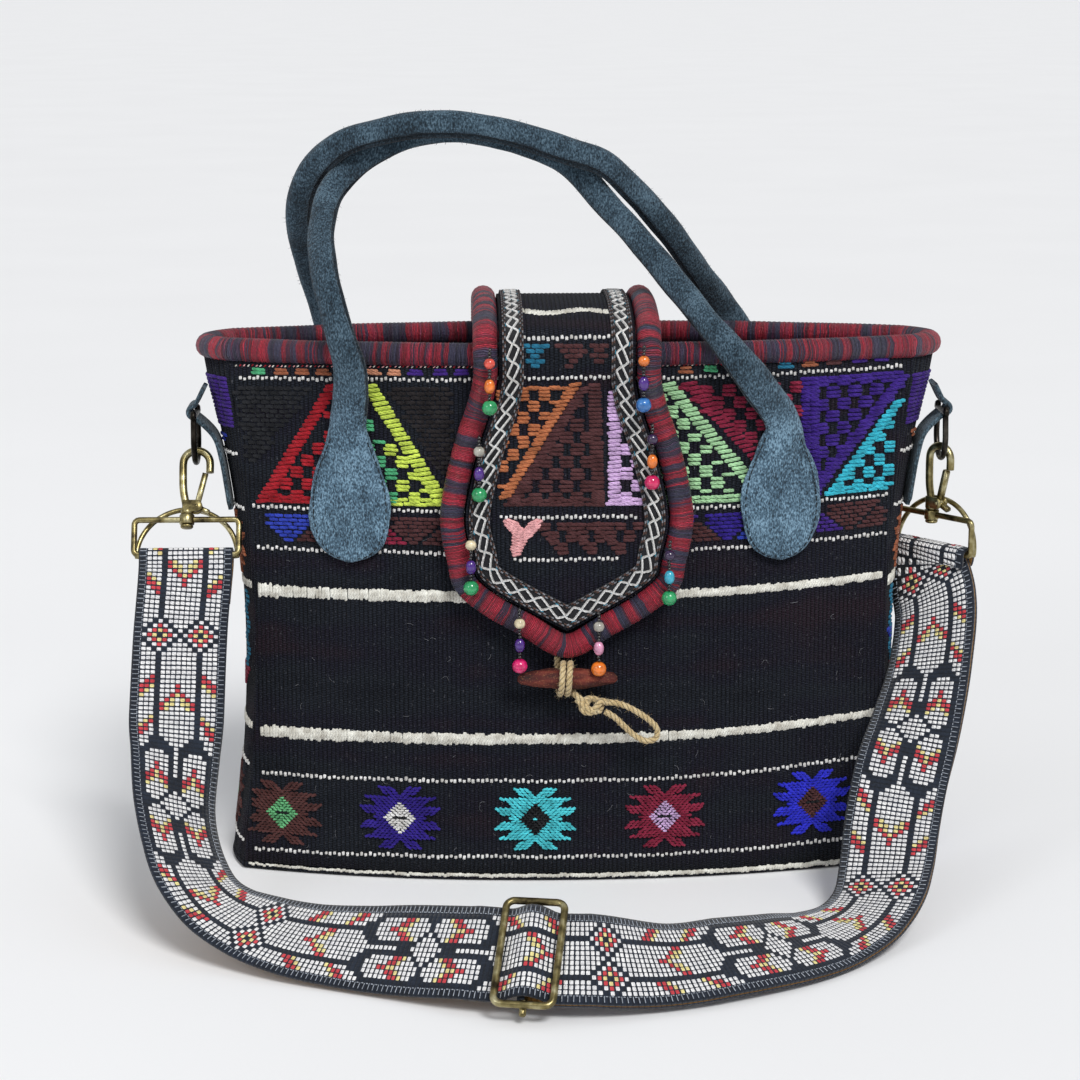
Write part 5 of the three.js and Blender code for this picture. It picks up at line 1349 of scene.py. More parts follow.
BACK_ARCH = [
    (-126, 51, 270), (-131.5, 52, 287), (-137, 46, 306), (-142, 33, 328), (-144, 16, 348),
    (-137.5, 3, 369), (-122, -5, 385), (-101, -8, 392.5), (-76, -8, 396.5), (-50, -8, 395.5),
    (-24, -8, 390), (-3, -8, 383), (17, -4, 376), (37.5, 5, 357), (56, 16, 335.5), (72, 33, 313.5),
    (84.5, 48, 296), (96, 52, 278)]


def pad_half_thickness(share):
    """Thin where the pad is sewn on, thicker towards the roll"""
    return lerp(PAD_HALF_THICKNESS, HANDLE_HALF_THICKNESS, np.maximum(share - 0.6, 0) / 0.4)


def pad_points(x, side):
    z = PAD_BOTTOM + PAD_STATIONS * PAD_LENGTH
    out = face_depth(x, z) + GAP + pad_half_thickness(PAD_STATIONS)
    return np.stack([np.full(len(z), x), side * out, z], 1)


def handle_section(station):
    """Half width and half thickness at a station counted from the nearer end"""
    share = np.interp(station, np.arange(PAD_END + 1), PAD_STATIONS)
    pad = PAD_HALF_WIDTH * np.interp(share, DROP_STATIONS, DROP_SHAPE)
    settle = np.clip((station - PAD_END) / 3, 0, 1)
    roll = lerp(DROP_SHAPE[-1] * PAD_HALF_WIDTH, HANDLE_HALF_WIDTH, settle)
    half = np.where(station >= PAD_END, roll, pad)
    return half, np.where(station >= PAD_END, HANDLE_HALF_THICKNESS, pad_half_thickness(share))


def from_angle(angle, centre):
    """Signed difference of angles"""
    return np.angle(np.exp(1j * (angle - centre)))


def rounded(values, power=0.8):
    return np.sign(values) * np.abs(values) ** power


def add_handle(name, arch, side, node):
    """Drop-shaped pads that roll up into a tube, with a groove and a seam along its lower edge"""
    ends = [pad_points(FRONT_MIDDLE + x, side) for x in (-PAD_HALF_SPAN, PAD_HALF_SPAN)]
    points = np.vstack([ends[0], arch, ends[1][::-1]])
    route = Route(points)
    last = len(points) - 1
    u = route.share(np.linspace(0, 1, HANDLE_ROWS))
    spot, tangent = route.at(u), route.tangent(u)
    station = np.minimum(u * last, last - u * last)
    half, thickness = handle_section(station)
    tilt = abs(float(face_depth(123.0, PAD_BOTTOM) - face_depth(103.0, PAD_BOTTOM))) / 20
    facing = unit(np.stack([tilt * spot[:, 0] / PAD_HALF_SPAN, np.full(len(u), side), np.zeros(len(u))], 1))
    across = unit(np.cross(tangent, facing))
    out = unit(np.cross(across, tangent))
    angle = np.linspace(0, 2 * math.pi, HANDLE_SIDES, endpoint=False)
    lower = 0.0 if side < 0 else math.pi
    seam = lower - side * SEAM_ANGLE
    rolled = np.clip((station - 4.6) / 2.0, 0, 1)[:, None]
    under, crown = from_angle(angle, lower)[None], from_angle(angle, seam)[None]
    groove = 1 - 0.4 * rolled * np.exp(-(under / 0.16) ** 2)
    ridge = 1 - 0.2 * rolled * np.exp(-(crown / 0.22) ** 2) + 0.04 * rolled * np.cos(2 * crown)
    run = np.linspace(0, route.length, len(u))[:, None]
    wander = 1 + 0.03 * np.sin(run / 11) + 0.02 * np.sin(run / 4.3 + 3 * angle[None])
    size = np.minimum(groove * ridge * wander, 1.06)
    reach = half[:, None] * rounded(np.cos(angle)) * size
    spread = np.clip((station - 2.6) / 2.4, 0, 1)[:, None] * (1 - rolled)
    size = size * (1 - 0.62 * spread * (1 - np.exp(-(reach / 7.5) ** 2)))
    mesh = spot[:, None] + across[:, None] * reach[..., None]
    mesh = mesh - out[:, None] * (thickness[:, None] * rounded(np.sin(angle)) * size)[..., None]
    points, faces, uv = capped(mesh, np.stack(np.broadcast_arrays(run, angle * 7), -1))
    # Faces of the rolled part between the lower edge and the seam take the darker suede, painted shade of
    # the roll's underside
    between = np.abs(from_angle(angle + math.pi / HANDLE_SIDES, (lower + seam) / 2)) < SEAM_ANGLE / 2
    fold = (between[None] & (station > SEAM_STATION)[:-1, None]).ravel()
    shades = np.concatenate([fold, np.zeros(2 * HANDLE_SIDES, bool)])
    place(make_piece(name, points, faces, [SUEDE, FOLD_SHADE_SUEDE], uv, shades), "suede", node)
    add_pad_stitches(f"{name}_seam", side)
    add_nap(f"{name}_nap", mesh, spot, tangent)
    line = mesh[station > SEAM_STATION, round(seam / (2 * math.pi) * HANDLE_SIDES)]
    add_solid(f"{name}_edge", rod(line, 0.5, 6), THREAD, "suede")


def add_nap(name, mesh, spot, tangent, count=1100):
    """Short fibres that stand off a handle's suede"""
    parts = []
    for _ in range(count):
        row, column = rng.integers(4, len(mesh) - 4), rng.integers(0, mesh.shape[1])
        root = mesh[row, column]
        away = unit(root - spot[row])
        way = away * rng.uniform(0.5, 1.0) + tangent[row] * rng.uniform(-1, 1)
        way = unit(way + 0.4 * rng.normal(size=3))
        size = rng.uniform(0.7, 1.9)
        tip = root + unit(way + 0.3 * rng.normal(size=3)) * size
        parts.append(rod([root - 0.2 * away, root + way * size * 0.5, tip], [0.09, 0.08, 0.03], 3))
    add_solid(name, merge(parts), SUEDE, "suede")


def add_pad_stitches(name, side):
    """Thread round the edge of both pads of one handle"""
    heights = [PAD_BOTTOM, 215.0, PAD_BOTTOM + PAD_LENGTH]
    depths = [PAD_HALF_THICKNESS, PAD_HALF_THICKNESS, HANDLE_HALF_THICKNESS]
    parts = []
    for x in (FRONT_MIDDLE - PAD_HALF_SPAN, FRONT_MIDDLE + PAD_HALF_SPAN):
        share = np.linspace(0.03, 0.92, 40)
        half = PAD_HALF_WIDTH * np.interp(share, DROP_STATIONS, DROP_SHAPE) - 2.6
        z = PAD_BOTTOM + share * PAD_LENGTH
        line = np.vstack([np.column_stack([x - half, z])[::-1], np.column_stack([x + half, z])])
        step = distances(line)
        for start in np.arange(1.0, step[-1] - 3, 3.6):
            at = np.linspace(start, start + 2.5, 4)
            px, pz = np.interp(at, step, line[:, 0]), np.interp(at, step, line[:, 1])
            lift = GAP + 2 * np.interp(pz, heights, depths) * 0.93
            out = face_depth(px, pz) + lift + np.array([-0.5, 0.1, 0.1, -0.5])
            thread = np.stack([px, side * out, pz], 1)
            parts.append(rod(thread, 0.34, 5))
    add_solid(name, merge(parts), THREAD, "suede")


THREAD = wool("suede_thread", "1a242d")
add_handle("front_handle_suede", FRONT_ARCH, -1, "front_handle")
add_handle("back_handle_suede", BACK_ARCH, 1, "back_handle")


# Bead strands: seeds and three glossy beads on a thread

BEAD_COLOURS = {
    "coral": "e0503f", "orange": "ee7a1e", "green": "1f9a5c", "grey": "a9a69c", "purple": "43157f",
    "cream": "e0d3b0", "hot_pink": "d8136a", "pink": "d893b4", "blue": "2a6fb5", "plum": "2a1340",
    "magenta": "d0145c", "cyan": "2fa8c4", "seed": "0c0c0e"}
STRANDS = {
    "left_top": ("coral", "orange", "green"), "left_middle": ("grey", "purple", "green"),
    "left_low": ("cream", "purple", "green"), "point_left": ("cream", "purple", "hot_pink"),
    "point_right": ("grey", "pink", "orange"), "right_top": ("orange", "purple", "blue"),
    "right_middle": ("plum", "orange", "magenta"), "right_low": ("plum", "cyan", "green")}
BEAD_GLASS = {name: glass_bead(f"bead_{name}", code) for name, code in BEAD_COLOURS.items()}


def bead(centre, radius, half, sides=20, rings=10):
    """A turned bead with a dimple at each hole"""
    start = 0.14
    hole = [0.25 * radius * math.sin(start)]
    angle = np.linspace(start, math.pi - start, rings)
    reach = np.concatenate([hole, radius * np.sin(angle) ** 0.85, hole])
    height = np.concatenate([[half * 0.9], half * np.cos(angle), [-half * 0.9]])
    return lathe(centre, reach, height, sides)


def lathe(centre, radii, heights, sides, axes=None):
    """Closed turned solid about the local Z axis, heights falling or rising"""
    x, y, z = np.eye(3) if axes is None else axes
    turn = np.linspace(0, 2 * math.pi, sides, endpoint=False)
    if heights[0] > heights[-1]:
        radii, heights = radii[::-1], heights[::-1]
    around = np.cos(turn)[:, None] * x + np.sin(turn)[:, None] * y
    reach, rise = [np.asarray(a)[:, None, None] for a in (radii, heights)]
    points = np.asarray(centre) + reach * around[None] + rise * z
    uv = np.stack(np.meshgrid(heights, turn * np.max(radii), indexing="ij"), -1)
    return capped(points, uv)


def add_strand(name, colours):
    low, high = [np.array(c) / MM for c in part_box(f"bead_strand_{name}")]
    x, y = (low[:2] + high[:2]) / 2
    parts, shades = [], []
    z = high[2]
    layout = [("seed", 3), (colours[0], 2.9, 2.7), ("seed", 3), (colours[1], 2.7, 3.7), ("seed", 2),
              (colours[2], 4.0, 3.8)]
    for item in layout:
        if item[0] == "seed":
            for _ in range(item[1]):
                parts.append(bead((x + rng.normal() * 0.15, y, z - 0.85), 1.05, 0.85, 10, 6))
                shades.append("seed")
                z -= 1.75
        else:
            parts.append(bead((x, y, z - item[2]), item[1], item[2]))
            shades.append(item[0])
            z -= 2 * item[2]
    parts.append(rod([(x, y, high[2] + 0.5), (x, y, (high[2] + z) / 2), (x, y, z - 0.4)], 0.3, 5))
    shades.append("seed")
    names = sorted(set(shades))
    indices = np.concatenate([np.full(sum(len(f) for f in part[1]), names.index(shade))
                              for part, shade in zip(parts, shades)])
    points, faces, uv = merge(parts)
    piece = make_piece(f"beads_{name}", points, faces, [BEAD_GLASS[n] for n in names], uv, indices)
    place(piece, "beads", f"bead_strand_{name}")


for strand, strand_colours in STRANDS.items():
    add_strand(strand, strand_colours)


# Toggle

def add_toggle():
    """Spindle with blunt ends and a whittled skin"""
    along = np.linspace(-1, 1, 60)
    ends = np.clip((1.02 - np.abs(along)) * 12, 0.05, 1) ** 0.5
    reach = TOGGLE_RADIUS * np.clip(1.04 - 0.62 * np.abs(along) ** 1.7, 0, 1) * ends
    points, faces, uv = lathe(TOGGLE, reach, TOGGLE_HALF_LENGTH * along, 28, np.eye(3)[[1, 2, 0]])
    offset = points - TOGGLE
    angle = np.arctan2(offset[:, 2], offset[:, 1])
    x = offset[:, 0]
    rough = 0.92 + 0.05 * np.sin(3 * angle + x / 5) + 0.04 * np.sin(7 * angle - x / 1.9)
    points[:, 1:] = TOGGLE[1:] + offset[:, 1:] * rough[:, None]
    add_solid("toggle_spindle", (points, faces, uv), WOOD, "toggle_wood", "toggle")


add_toggle()


# Side hardware

RING_TOP, RING_HEIGHT, RING_HALF_WIDTH, RING_WIRE = 247.0, 28.0, 13.0, 1.6
TAB_FORWARD, TAB_WIDTH, TAB_HALF_THICKNESS, TAB_ROWS = 8.0, 20.0, 1.2, 80
HOOK_HEIGHT, HOOK_RADIUS, HOOK_OFFSET, HOOK_WIRE = 38.2, 7.1, 4.6, 2.1
HOOK_REACH = HOOK_HEIGHT - 2.4 - 1.6 - HOOK_WIRE
LOOP_DROP, LOOP_HALF_WIDTH, LOOP_WIRE = 19.0, 27.6, 1.6
D_RING_BACK, D_RING_WIRE, D_RING_HALF_WIDTH, D_RING_RISE = 3.7, 1.4, 26.6, 27.0
D_RING_LEAN = math.radians(8)
GATE_PIVOT, GATE_TIP = (5.0, 7.0), (9.4, 25.5)
THUMB_TURN = -0.45


def gusset_face(z):
    share = np.clip(z / BODY_HEIGHT, 0, 1)
    return crease_half_width(share) + end_bulge(share)


RING_X = float(gusset_face(RING_TOP)) + GAP + 10.0


def hook_axes(turn, lean):
    """Across, back and up of a hook that is turned about the vertical, then leans forward"""
    a, b = math.radians(turn), math.radians(lean)
    across = np.array([math.cos(a), math.sin(a), 0])
    flat = np.array([-math.sin(a), math.cos(a), 0])
    up = np.array([0, 0, 1.0])
    return np.array([across, flat * math.cos(b) - up * math.sin(b), up * math.cos(b) + flat * math.sin(b)])


def hook_side(sign, turn, lean):
    axes = hook_axes(turn, lean)
    bow = np.array([sign * RING_X, -TAB_FORWARD, RING_TOP - RING_HEIGHT])
    post = bow - HOOK_OFFSET * axes[0] - HOOK_REACH * axes[2]
    return {"sign": sign, "axes": axes, "post": post, "bar": post - LOOP_DROP * axes[2]}


SIDES = {"left": hook_side(-1, 0, 28), "right": hook_side(1, -50, 0)}


def local(side, points):
    return side["post"] + np.asarray(points, float) @ side["axes"]


def dense(points, step):
    """Points of a closed line of straight stretches, set again at an even step"""
    p = np.vstack([points, points[:1]])
    run = distances(p)
    at = np.linspace(0, run[-1], int(run[-1] / step) + 1)[:-1]
    return np.stack([np.interp(at, run, p[:, k]) for k in range(3)], 1)


def rounded_rectangle(low, high, corner, step=8):
    """Corners of a rounded rectangle in two coordinates"""
    points = []
    for sx, sy, turn in ((1, 1, 0), (0, 1, 1), (0, 0, 2), (1, 0, 3)):
        centre = [(high if s else low)[k] + (-corner if s else corner) for k, s in enumerate((sx, sy))]
        for k in range(step + 1):
            angle = math.pi / 2 * (turn + k / step)
            points.append((centre[0] + corner * math.cos(angle), centre[1] + corner * math.sin(angle)))
    return np.array(points)


def add_metal(name, parts, node, body, material=None, slot="antique_brass"):
    add_solid(name, merge(parts), material or BRASS, slot, node, body=body)


def add_ring(name, sign):
    """D-shaped ring with a straight top; half of its outline, then its mirror"""
    corner, half = 2.5, RING_HALF_WIDTH
    turns = np.linspace(math.pi / 2, 0, 7)
    right = [(half - corner * (1 - math.sin(a)), -corner * (1 - math.cos(a))) for a in turns]
    turns = np.linspace(0, math.pi / 2, 20)
    bow = [(half * math.cos(a), half - RING_HEIGHT - half * math.sin(a)) for a in turns]
    line = np.array(right + bow)
    outline_yz = np.vstack([line, line[-2::-1] * [-1, 1]])
    path = np.column_stack([np.full(len(outline_yz), sign * RING_X), outline_yz[:, 0] - TAB_FORWARD,
                            outline_yz[:, 1] + RING_TOP])
    wire = rod(dense(path, 0.7), RING_WIRE, 16, True)
    add_metal(f"{name}_ring_wire", [wire], f"{name}_ring", f"{name}_ring", GUNMETAL, "gunmetal")


def post_lathe(side, profile, sides=24):
    radii, heights = np.array(profile, float).T
    return lathe(side["post"], radii, heights, sides, side["axes"])


def pivot_lathe(side, radii, heights, sides):
    """Turned solid about the gate's pivot"""
    x, z = GATE_PIVOT
    return lathe(local(side, [(x, 0, z)])[0], radii, heights, sides, side["axes"][[2, 0, 1]])


def plate(side, outline_xz, depth, thickness):
    """Flat plate with softened edges, in the plane of the hook"""
    shape = np.array(outline_xz, float)
    middle = shape.mean(0)
    loops = []
    for level_y, shrink in ((-0.5, 0.93), (-0.32, 1.0), (0.32, 1.0), (0.5, 0.93)):
        x, z = (middle + (shape - middle) * shrink).T
        loops.append(local(side, np.column_stack([x, np.full(len(x), depth + level_y * thickness), z])))
    points = np.array(loops)
    return capped(points, np.zeros(points.shape[:2] + (2,)))


def add_hook(name, side):
    bow = HOOK_HEIGHT - HOOK_RADIUS
    left = HOOK_OFFSET - HOOK_RADIUS
    line = [(0, 0, 4.1), (-0.6, 0, 8), (left + 0.4, 0, 16), (left, 0, 24)]
    for a in np.linspace(math.pi, 0, 13):
        line.append((HOOK_OFFSET + HOOK_RADIUS * math.cos(a), 0, bow + HOOK_RADIUS * math.sin(a)))
    line.append((HOOK_OFFSET + HOOK_RADIUS, 0, GATE_TIP[1] + 0.5))
    wire = rod(Route(local(side, line)).even(110), HOOK_WIRE, 20)
    shoulder = post_lathe(side, [(2.2, 2.9), (3.1, 3.0), (3.4, 3.4), (3.4, 4.8), (3.1, 5.2), (2.3, 5.4)])
    stem = post_lathe(side, [(2.0, -3.8), (2.0, 4.6)])
    head = post_lathe(side, [(1.6, -4.7), (2.9, -4.6), (3.4, -4.1), (3.4, -3.3), (3.0, -2.9)])
    x, z = GATE_PIVOT
    turns = np.linspace(-math.pi / 2, math.pi / 2, 14)[1:]
    nose = [(x + 3.2 * math.cos(a), z + 3.2 * math.sin(a)) for a in turns]
    lug = [(-2.2, 3.9), (x, z - 3.2), *nose, (-2.2, z + 3.2)]
    lugs = [plate(side, lug, depth, 1.3) for depth in (-2.55, 2.55)]
    web = plate(side, [(-2.5, 3.2), (0.5, 3.2), (0.5, 9.0), (-2.5, 9.0)], 0.0, 5.0)
    cast = [wire, shoulder, stem, head, web, *lugs]
    add_metal(f"{name}_hook_cast", cast, f"{name}_hook_body", f"{name}_hook")
    add_gate(name, side)
    pin = pivot_lathe(side, [0.4, 0.8, 1.0, 1.0, 0.8, 0.4], [-3.5, -3.4, -3.1, 3.1, 3.4, 3.5], 16)
    add_metal(f"{name}_pin_rod", [pin], f"{name}_gate_pin", f"{name}_hook")


def add_gate(name, side):
    x, z = GATE_PIVOT
    way = unit(np.array(GATE_TIP) - GATE_PIVOT)
    out = np.array([way[1], -way[0]])
    length = math.hypot(GATE_TIP[0] - x, GATE_TIP[1] - z)
    ends = [(-1.5, 0.5), (-1.5, length), (1.5, length), (1.5, 0.5)]
    bar = plate(side, [np.array([x, z]) + out * a + way * b for a, b in ends][::-1], 0.0, 3.2)
    eye = pivot_lathe(side, [2.0, 2.4, 2.4, 2.0], [-1.6, -1.3, 1.3, 1.6], 20)
    cosine, sine = math.cos(THUMB_TURN), math.sin(THUMB_TURN)
    thumb = [(0.9, -1.3), (7.2, -1.3), (7.9, 0.0), (7.2, 1.3), (0.9, 1.3)]
    turned = [(x + p * cosine - q * sine, z + p * sine + q * cosine) for p, q in thumb]
    lever = [bar, eye, plate(side, turned, 0.0, 3.0)]
    add_metal(f"{name}_gate_lever", lever, f"{name}_hook_gate", f"{name}_gate")


def add_strap_loop(name, side):
    x, z = rounded_rectangle((-LOOP_HALF_WIDTH, -LOOP_DROP), (LOOP_HALF_WIDTH, 0.0), 2.5).T
    path = local(side, np.column_stack([x, np.zeros(len(x)), z]))
    boss = post_lathe(side, [(2.3, -2.6), (3.7, -2.6), (4.0, -2.2), (4.0, 2.2), (3.7, 2.6), (2.3, 2.6)])
    wire = rod(dense(path, 1.2), LOOP_WIRE, 16, True)
    add_metal(f"{name}_loop_wire", [wire, boss], f"{name}_swivel_loop", "bag")
    arc = np.linspace(0, math.pi, 48)
    rise = D_RING_RISE * np.sin(arc)
    back, up = D_RING_BACK + rise * math.sin(D_RING_LEAN), rise * math.cos(D_RING_LEAN) - LOOP_DROP
    arch = np.column_stack([D_RING_HALF_WIDTH * np.cos(arc), back, up])
    wire = rod(dense(local(side, arch), 1.2), D_RING_WIRE, 16, True)
    add_metal(f"{name}_d_ring_wire", [wire], f"{name}_d_ring", f"{name}_d_ring")


def band_solid(path, across, out, width, thickness, soft=0.6):
    """Flat band with rounded edges: path, direction across it and direction out of it at each point"""
    edge = 0.5 * thickness / np.max(width)
    section = [(-0.5, 0.0), (-0.5 + soft * edge, 0.42), (-0.5 + 2 * edge, 0.5)]
    section += [(s, 0.5) for s in np.linspace(-0.3, 0.3, 5)]
    section += [(-a, b) for a, b in section[2::-1]]
    section += [(a, -b) for a, b in section[-2:0:-1]]
    section = np.array(section)
    width = np.broadcast_to(np.asarray(width, float), (len(path),))
    points = (path[:, None] + across[:, None] * (section[:, 0] * width[:, None])[..., None]
              + out[:, None] * (section[:, 1] * thickness)[None, :, None])
    run = distances(path)
    uv = np.stack(np.broadcast_arrays(run[:, None], section[:, 0] * np.mean(width)), -1)
    return capped(points, uv, turned=True)


def add_tab(name, sign):
    half = TAB_HALF_THICKNESS
    loop = RING_WIRE + GAP + half
    face = lambda z: float(gusset_face(z)) + GAP + half
    turns = np.linspace(math.pi / 2, -math.pi / 2, 14)
    arc = [(RING_X + loop * math.cos(a), RING_TOP + loop * math.sin(a)) for a in turns]
    sewn = [(face(z), z) for z in (222.0, 208.0, 194.0)]
    line = [(face(262), 259.8), *arc, (face(235) + 1.2, 234.0), *sewn]
    fine = Route([(x, 0, z) for x, z in line]).even(TAB_ROWS)
    path = np.column_stack([sign * fine[:, 0], np.full(TAB_ROWS, -TAB_FORWARD), fine[:, 2]])
    tangent = unit(np.gradient(path, axis=0))
    across = np.tile([0.0, 1.0, 0.0], (TAB_ROWS, 1))
    out = unit(np.cross(tangent, across)) * sign
    ends = np.clip((1 - np.linspace(0, 1, TAB_ROWS)) / 0.06, 0.35, 1) ** 0.5
    solid = band_solid(path, across * sign, out, TAB_WIDTH * ends, 2 * half)
    add_solid(f"{name}_tab_suede", solid, TAB_SUEDE, "suede", f"{name}_tab")


for side_name, side_frame in SIDES.items():
    add_ring(side_name, side_frame["sign"])
    add_hook(side_name, side_frame)
    add_strap_loop(side_name, side_frame)
    add_tab(side_name, side_frame["sign"])


# Shoulder strap

STRAP_ROUTE = [
    (-206, -51, 137, 1, 0, 0), (-207, -68, 104, 1, 0.1, 0), (-207, -84, 81, 0.85, 0.5, -0.1),
    (-206, -104, 59, 0.7, 0.7, -0.15), (-200, -124, 42, 0.52, 0.85, -0.03),
    (-191, -142, 30, 0.42, 0.9, 0.05), (-179, -154, 22, 0.4, 0.9, 0.14),
    (-161, -166, 17, 0.38, 0.88, 0.28), (-139, -179, 15, 0.33, 0.85, 0.39),
    (-113, -192, 16, 0.22, 0.82, 0.5), (-88, -205, 19, 0.1, 0.79, 0.58),
    (-61, -219, 23, 0.05, 0.8, 0.6), (-29, -231, 27, 0.05, 0.8, 0.6), (5, -231, 23, 0.03, 0.81, 0.58),
    (42, -219, 16.5, -0.05, 0.91, 0.41), (70, -207, 15.5, -0.13, 0.92, 0.37),
    (99, -190, 13, -0.24, 0.92, 0.28), (123, -168, 10, -0.4, 0.9, 0.14),
    (141, -147, 11, -0.56, 0.82, 0.02), (152, -130, 17, -0.72, 0.69, -0.04),
    (158, -114, 27, -0.88, 0.47, -0.03), (163, -99, 44, -0.94, 0.33, 0.04),
    (170, -83, 65, -0.97, 0.24, 0.03), (180, -65, 88, -0.88, 0.44, -0.1),
    (190, -44, 114, -0.74, 0.65, -0.15), (196, -22, 140, -0.66, 0.74, -0.05)]
SLIDER_WIRE, SLIDER_BAR, SLIDER_HALF_WIDTH = 1.8, 1.7, 28.0
LOOP_BEND = LOOP_WIRE + GAP + STRAP_THICKNESS / 2
D_RING_BEND = D_RING_WIRE + 2 * GAP + STRAP_THICKNESS / 2
BAR_DEPTH = -(SLIDER_WIRE + SLIDER_BAR + GAP)
SLIDER_SHARE = 14 / 29         # of the route's spans, from the left loop
LAYER_GAP = 2.3                # between the middles of two layers of webbing


def strap_end(side, direction):
    top = side["bar"] - side["axes"][1] * LOOP_BEND
    below = top - side["axes"][2] * 10.0
    return [np.concatenate([p, side["axes"][0] * direction]) for p in (top, below)]


STRAP_ROWS = np.array(strap_end(SIDES["left"], 1) + [np.array(r, float) for r in STRAP_ROUTE]
                      + strap_end(SIDES["right"], -1)[::-1])
STRAP_MIDDLE, STRAP_ACROSS = Route(STRAP_ROWS[:, :3]), Route(STRAP_ROWS[:, 3:])


def strap_frame(u):
    spot, along = STRAP_MIDDLE.at(u), STRAP_MIDDLE.tangent(u)
    width = STRAP_ACROSS.at(u)
    width = unit(width - np.sum(width * along, axis=1, keepdims=True) * along)
    return spot, along, width, np.cross(along, width)


def slider_rise(distance):
    hump = BAR_DEPTH + 2 * (SLIDER_BAR + GAP) + STRAP_THICKNESS * 1.5
    under = -(SLIDER_WIRE + GAP + STRAP_THICKNESS / 2)
    share = np.minimum(np.abs(distance) / SLIDER_HALF_LENGTH, 1)
    settle = np.clip(1 - (np.abs(distance) - SLIDER_HALF_LENGTH) / 16, 0, 1)
    return lerp(hump, under, (1 - np.cos(math.pi * share)) / 2) * settle


def arc_stations(centre, start, over, width, radius, turn, steps):
    angle = np.linspace(0, turn, steps + 1)
    face = np.cos(angle)[:, None] * start + np.sin(angle)[:, None] * over
    return centre + radius * face, np.tile(width, (steps + 1, 1)), face


def end_fold(side, width):
    front, up = -side["axes"][1], side["axes"][2]
    over = arc_stations(side["bar"], front, up, width, LOOP_BEND, math.pi / 2, 6)
    down = arc_stations(side["bar"] - D_RING_BACK * front, up, -front, width, D_RING_BEND, math.pi / 2, 6)
    return [np.vstack([a[1:], b[:-1]]) for a, b in zip(over, down)]


def strap_stations():
    """Middle, direction across and face of the webbing, from its sewn end to the slider's bar"""
    u = np.linspace(0, 1, 801)
    spot, along, width, face = strap_frame(u)
    slider = [a[0] for a in strap_frame(np.array([SLIDER_SHARE]))]
    distance = np.linalg.norm(spot - slider[0], axis=1) * np.sign(u - SLIDER_SHARE)
    upper = spot + face * slider_rise(distance)[:, None]
    widest = LOOP_BEND + D_RING_BACK + D_RING_BEND

    def behind(keep, start):
        away = np.linalg.norm(upper[keep] - start, axis=1)
        gap = LAYER_GAP + (widest - LAYER_GAP) * np.exp(-(away / 10.0) ** 2)
        return upper[keep] - face[keep] * gap[:, None], width[keep], -face[keep]

    tucked = np.nonzero(np.linalg.norm(upper - upper[0], axis=1) < 26)[0]
    tucked = tucked[tucked < 200][::-1]
    returned = np.nonzero(distance > SLIDER_HALF_LENGTH + 4)[0][::-1]
    left = [a[::-1] for a in end_fold(SIDES["left"], width[0])]
    right = end_fold(SIDES["right"], width[-1])
    bar = slider[0] + slider[3] * BAR_DEPTH
    bend = SLIDER_BAR + GAP + STRAP_THICKNESS / 2
    wrap = arc_stations(bar, -slider[3], -slider[1], slider[2], bend, math.pi * 1.05, 12)
    runs = [behind(tucked, upper[0]), left, (upper, width, face), right, behind(returned, upper[-1]), wrap]
    marks = np.cumsum([len(r[0]) for r in runs])
    return [np.vstack([r[k] for r in runs]) for k in range(3)], marks


STRAP, STRAP_MARKS = strap_stations()
STRAP_RUN = distances(STRAP[0])


def strap_surface(u, v):
    """u across from the outer edge's side, v along the webbing; the patterned face"""
    shape = np.shape(v)
    flat = np.ravel(v)
    pick = lambda grid: np.stack([np.interp(flat, STRAP_RUN, grid[:, k]) for k in range(3)], -1)
    spot, width, face = pick(STRAP[0]), unit(pick(STRAP[1])), unit(pick(STRAP[2]))
    return (spot + width * -np.ravel(u)[:, None] + face * STRAP_THICKNESS / 2).reshape(shape + (3,))


COLUMN, ROW, BORDER = 2.67, 2.45, 4.5
HALF_PERIOD = 38               # rows from an eye of the pattern to the middle of a crossing
FIRST_EYE = 44.0               # along the webbing, below the left loop
FIELD_END = [31, 24, 23, 22, 0, 22, 24, 25]
EYE_RINGS = [None, "gold", "scarlet", "cell", None]


def banded(k, red, gold):
    """Colour across a stripe of the pattern that starts at k = 0"""
    return "scarlet" if 0 <= k < red else "gold" if red <= k < gold else "cell"


def field_cell(a, q):
    """White fields: a chevron in the middle one, two short diagonals in the side ones"""
    if a < 4:
        return banded(q - 11 - 1.15 * a, 1.7, 2.9 if a < 3 else 1.7)
    slant = 1.15 * (a - 5)
    far = q - 18.5 - slant
    if far >= -1.4:
        return "gold" if far < 0 else banded(far, 1.5, 1.5)
    return banded(q - 8.7 - slant, 1.5, 2.8)


def crossing_cell(a, q):
    """Two capped lozenges that meet a white diamond at the crossing"""
    near = HALF_PERIOD - q
    if a <= 3 - near:
        return "cell"
    if 4 - near < a <= min(4 + near, 6) and a >= 2 and q > 25 + (a in (2, 6)):
        return banded(q - 29 - 1.3 * abs(a - 4), 1.8, 3.2)
    return None


def strap_colour(c, v):
    """Colour of one cell of the webbing by its column from the middle and its place along"""
    r = round((v - FIRST_EYE) / ROW) % (2 * HALF_PERIOD)
    a, q = abs(c), min(r, 2 * HALF_PERIOD - r)
    ring = abs(a - 4) + q
    if ring <= 4:
        return EYE_RINGS[ring]
    if q <= FIELD_END[a]:
        return field_cell(a, q)
    return None if q < 24 else crossing_cell(a, q)


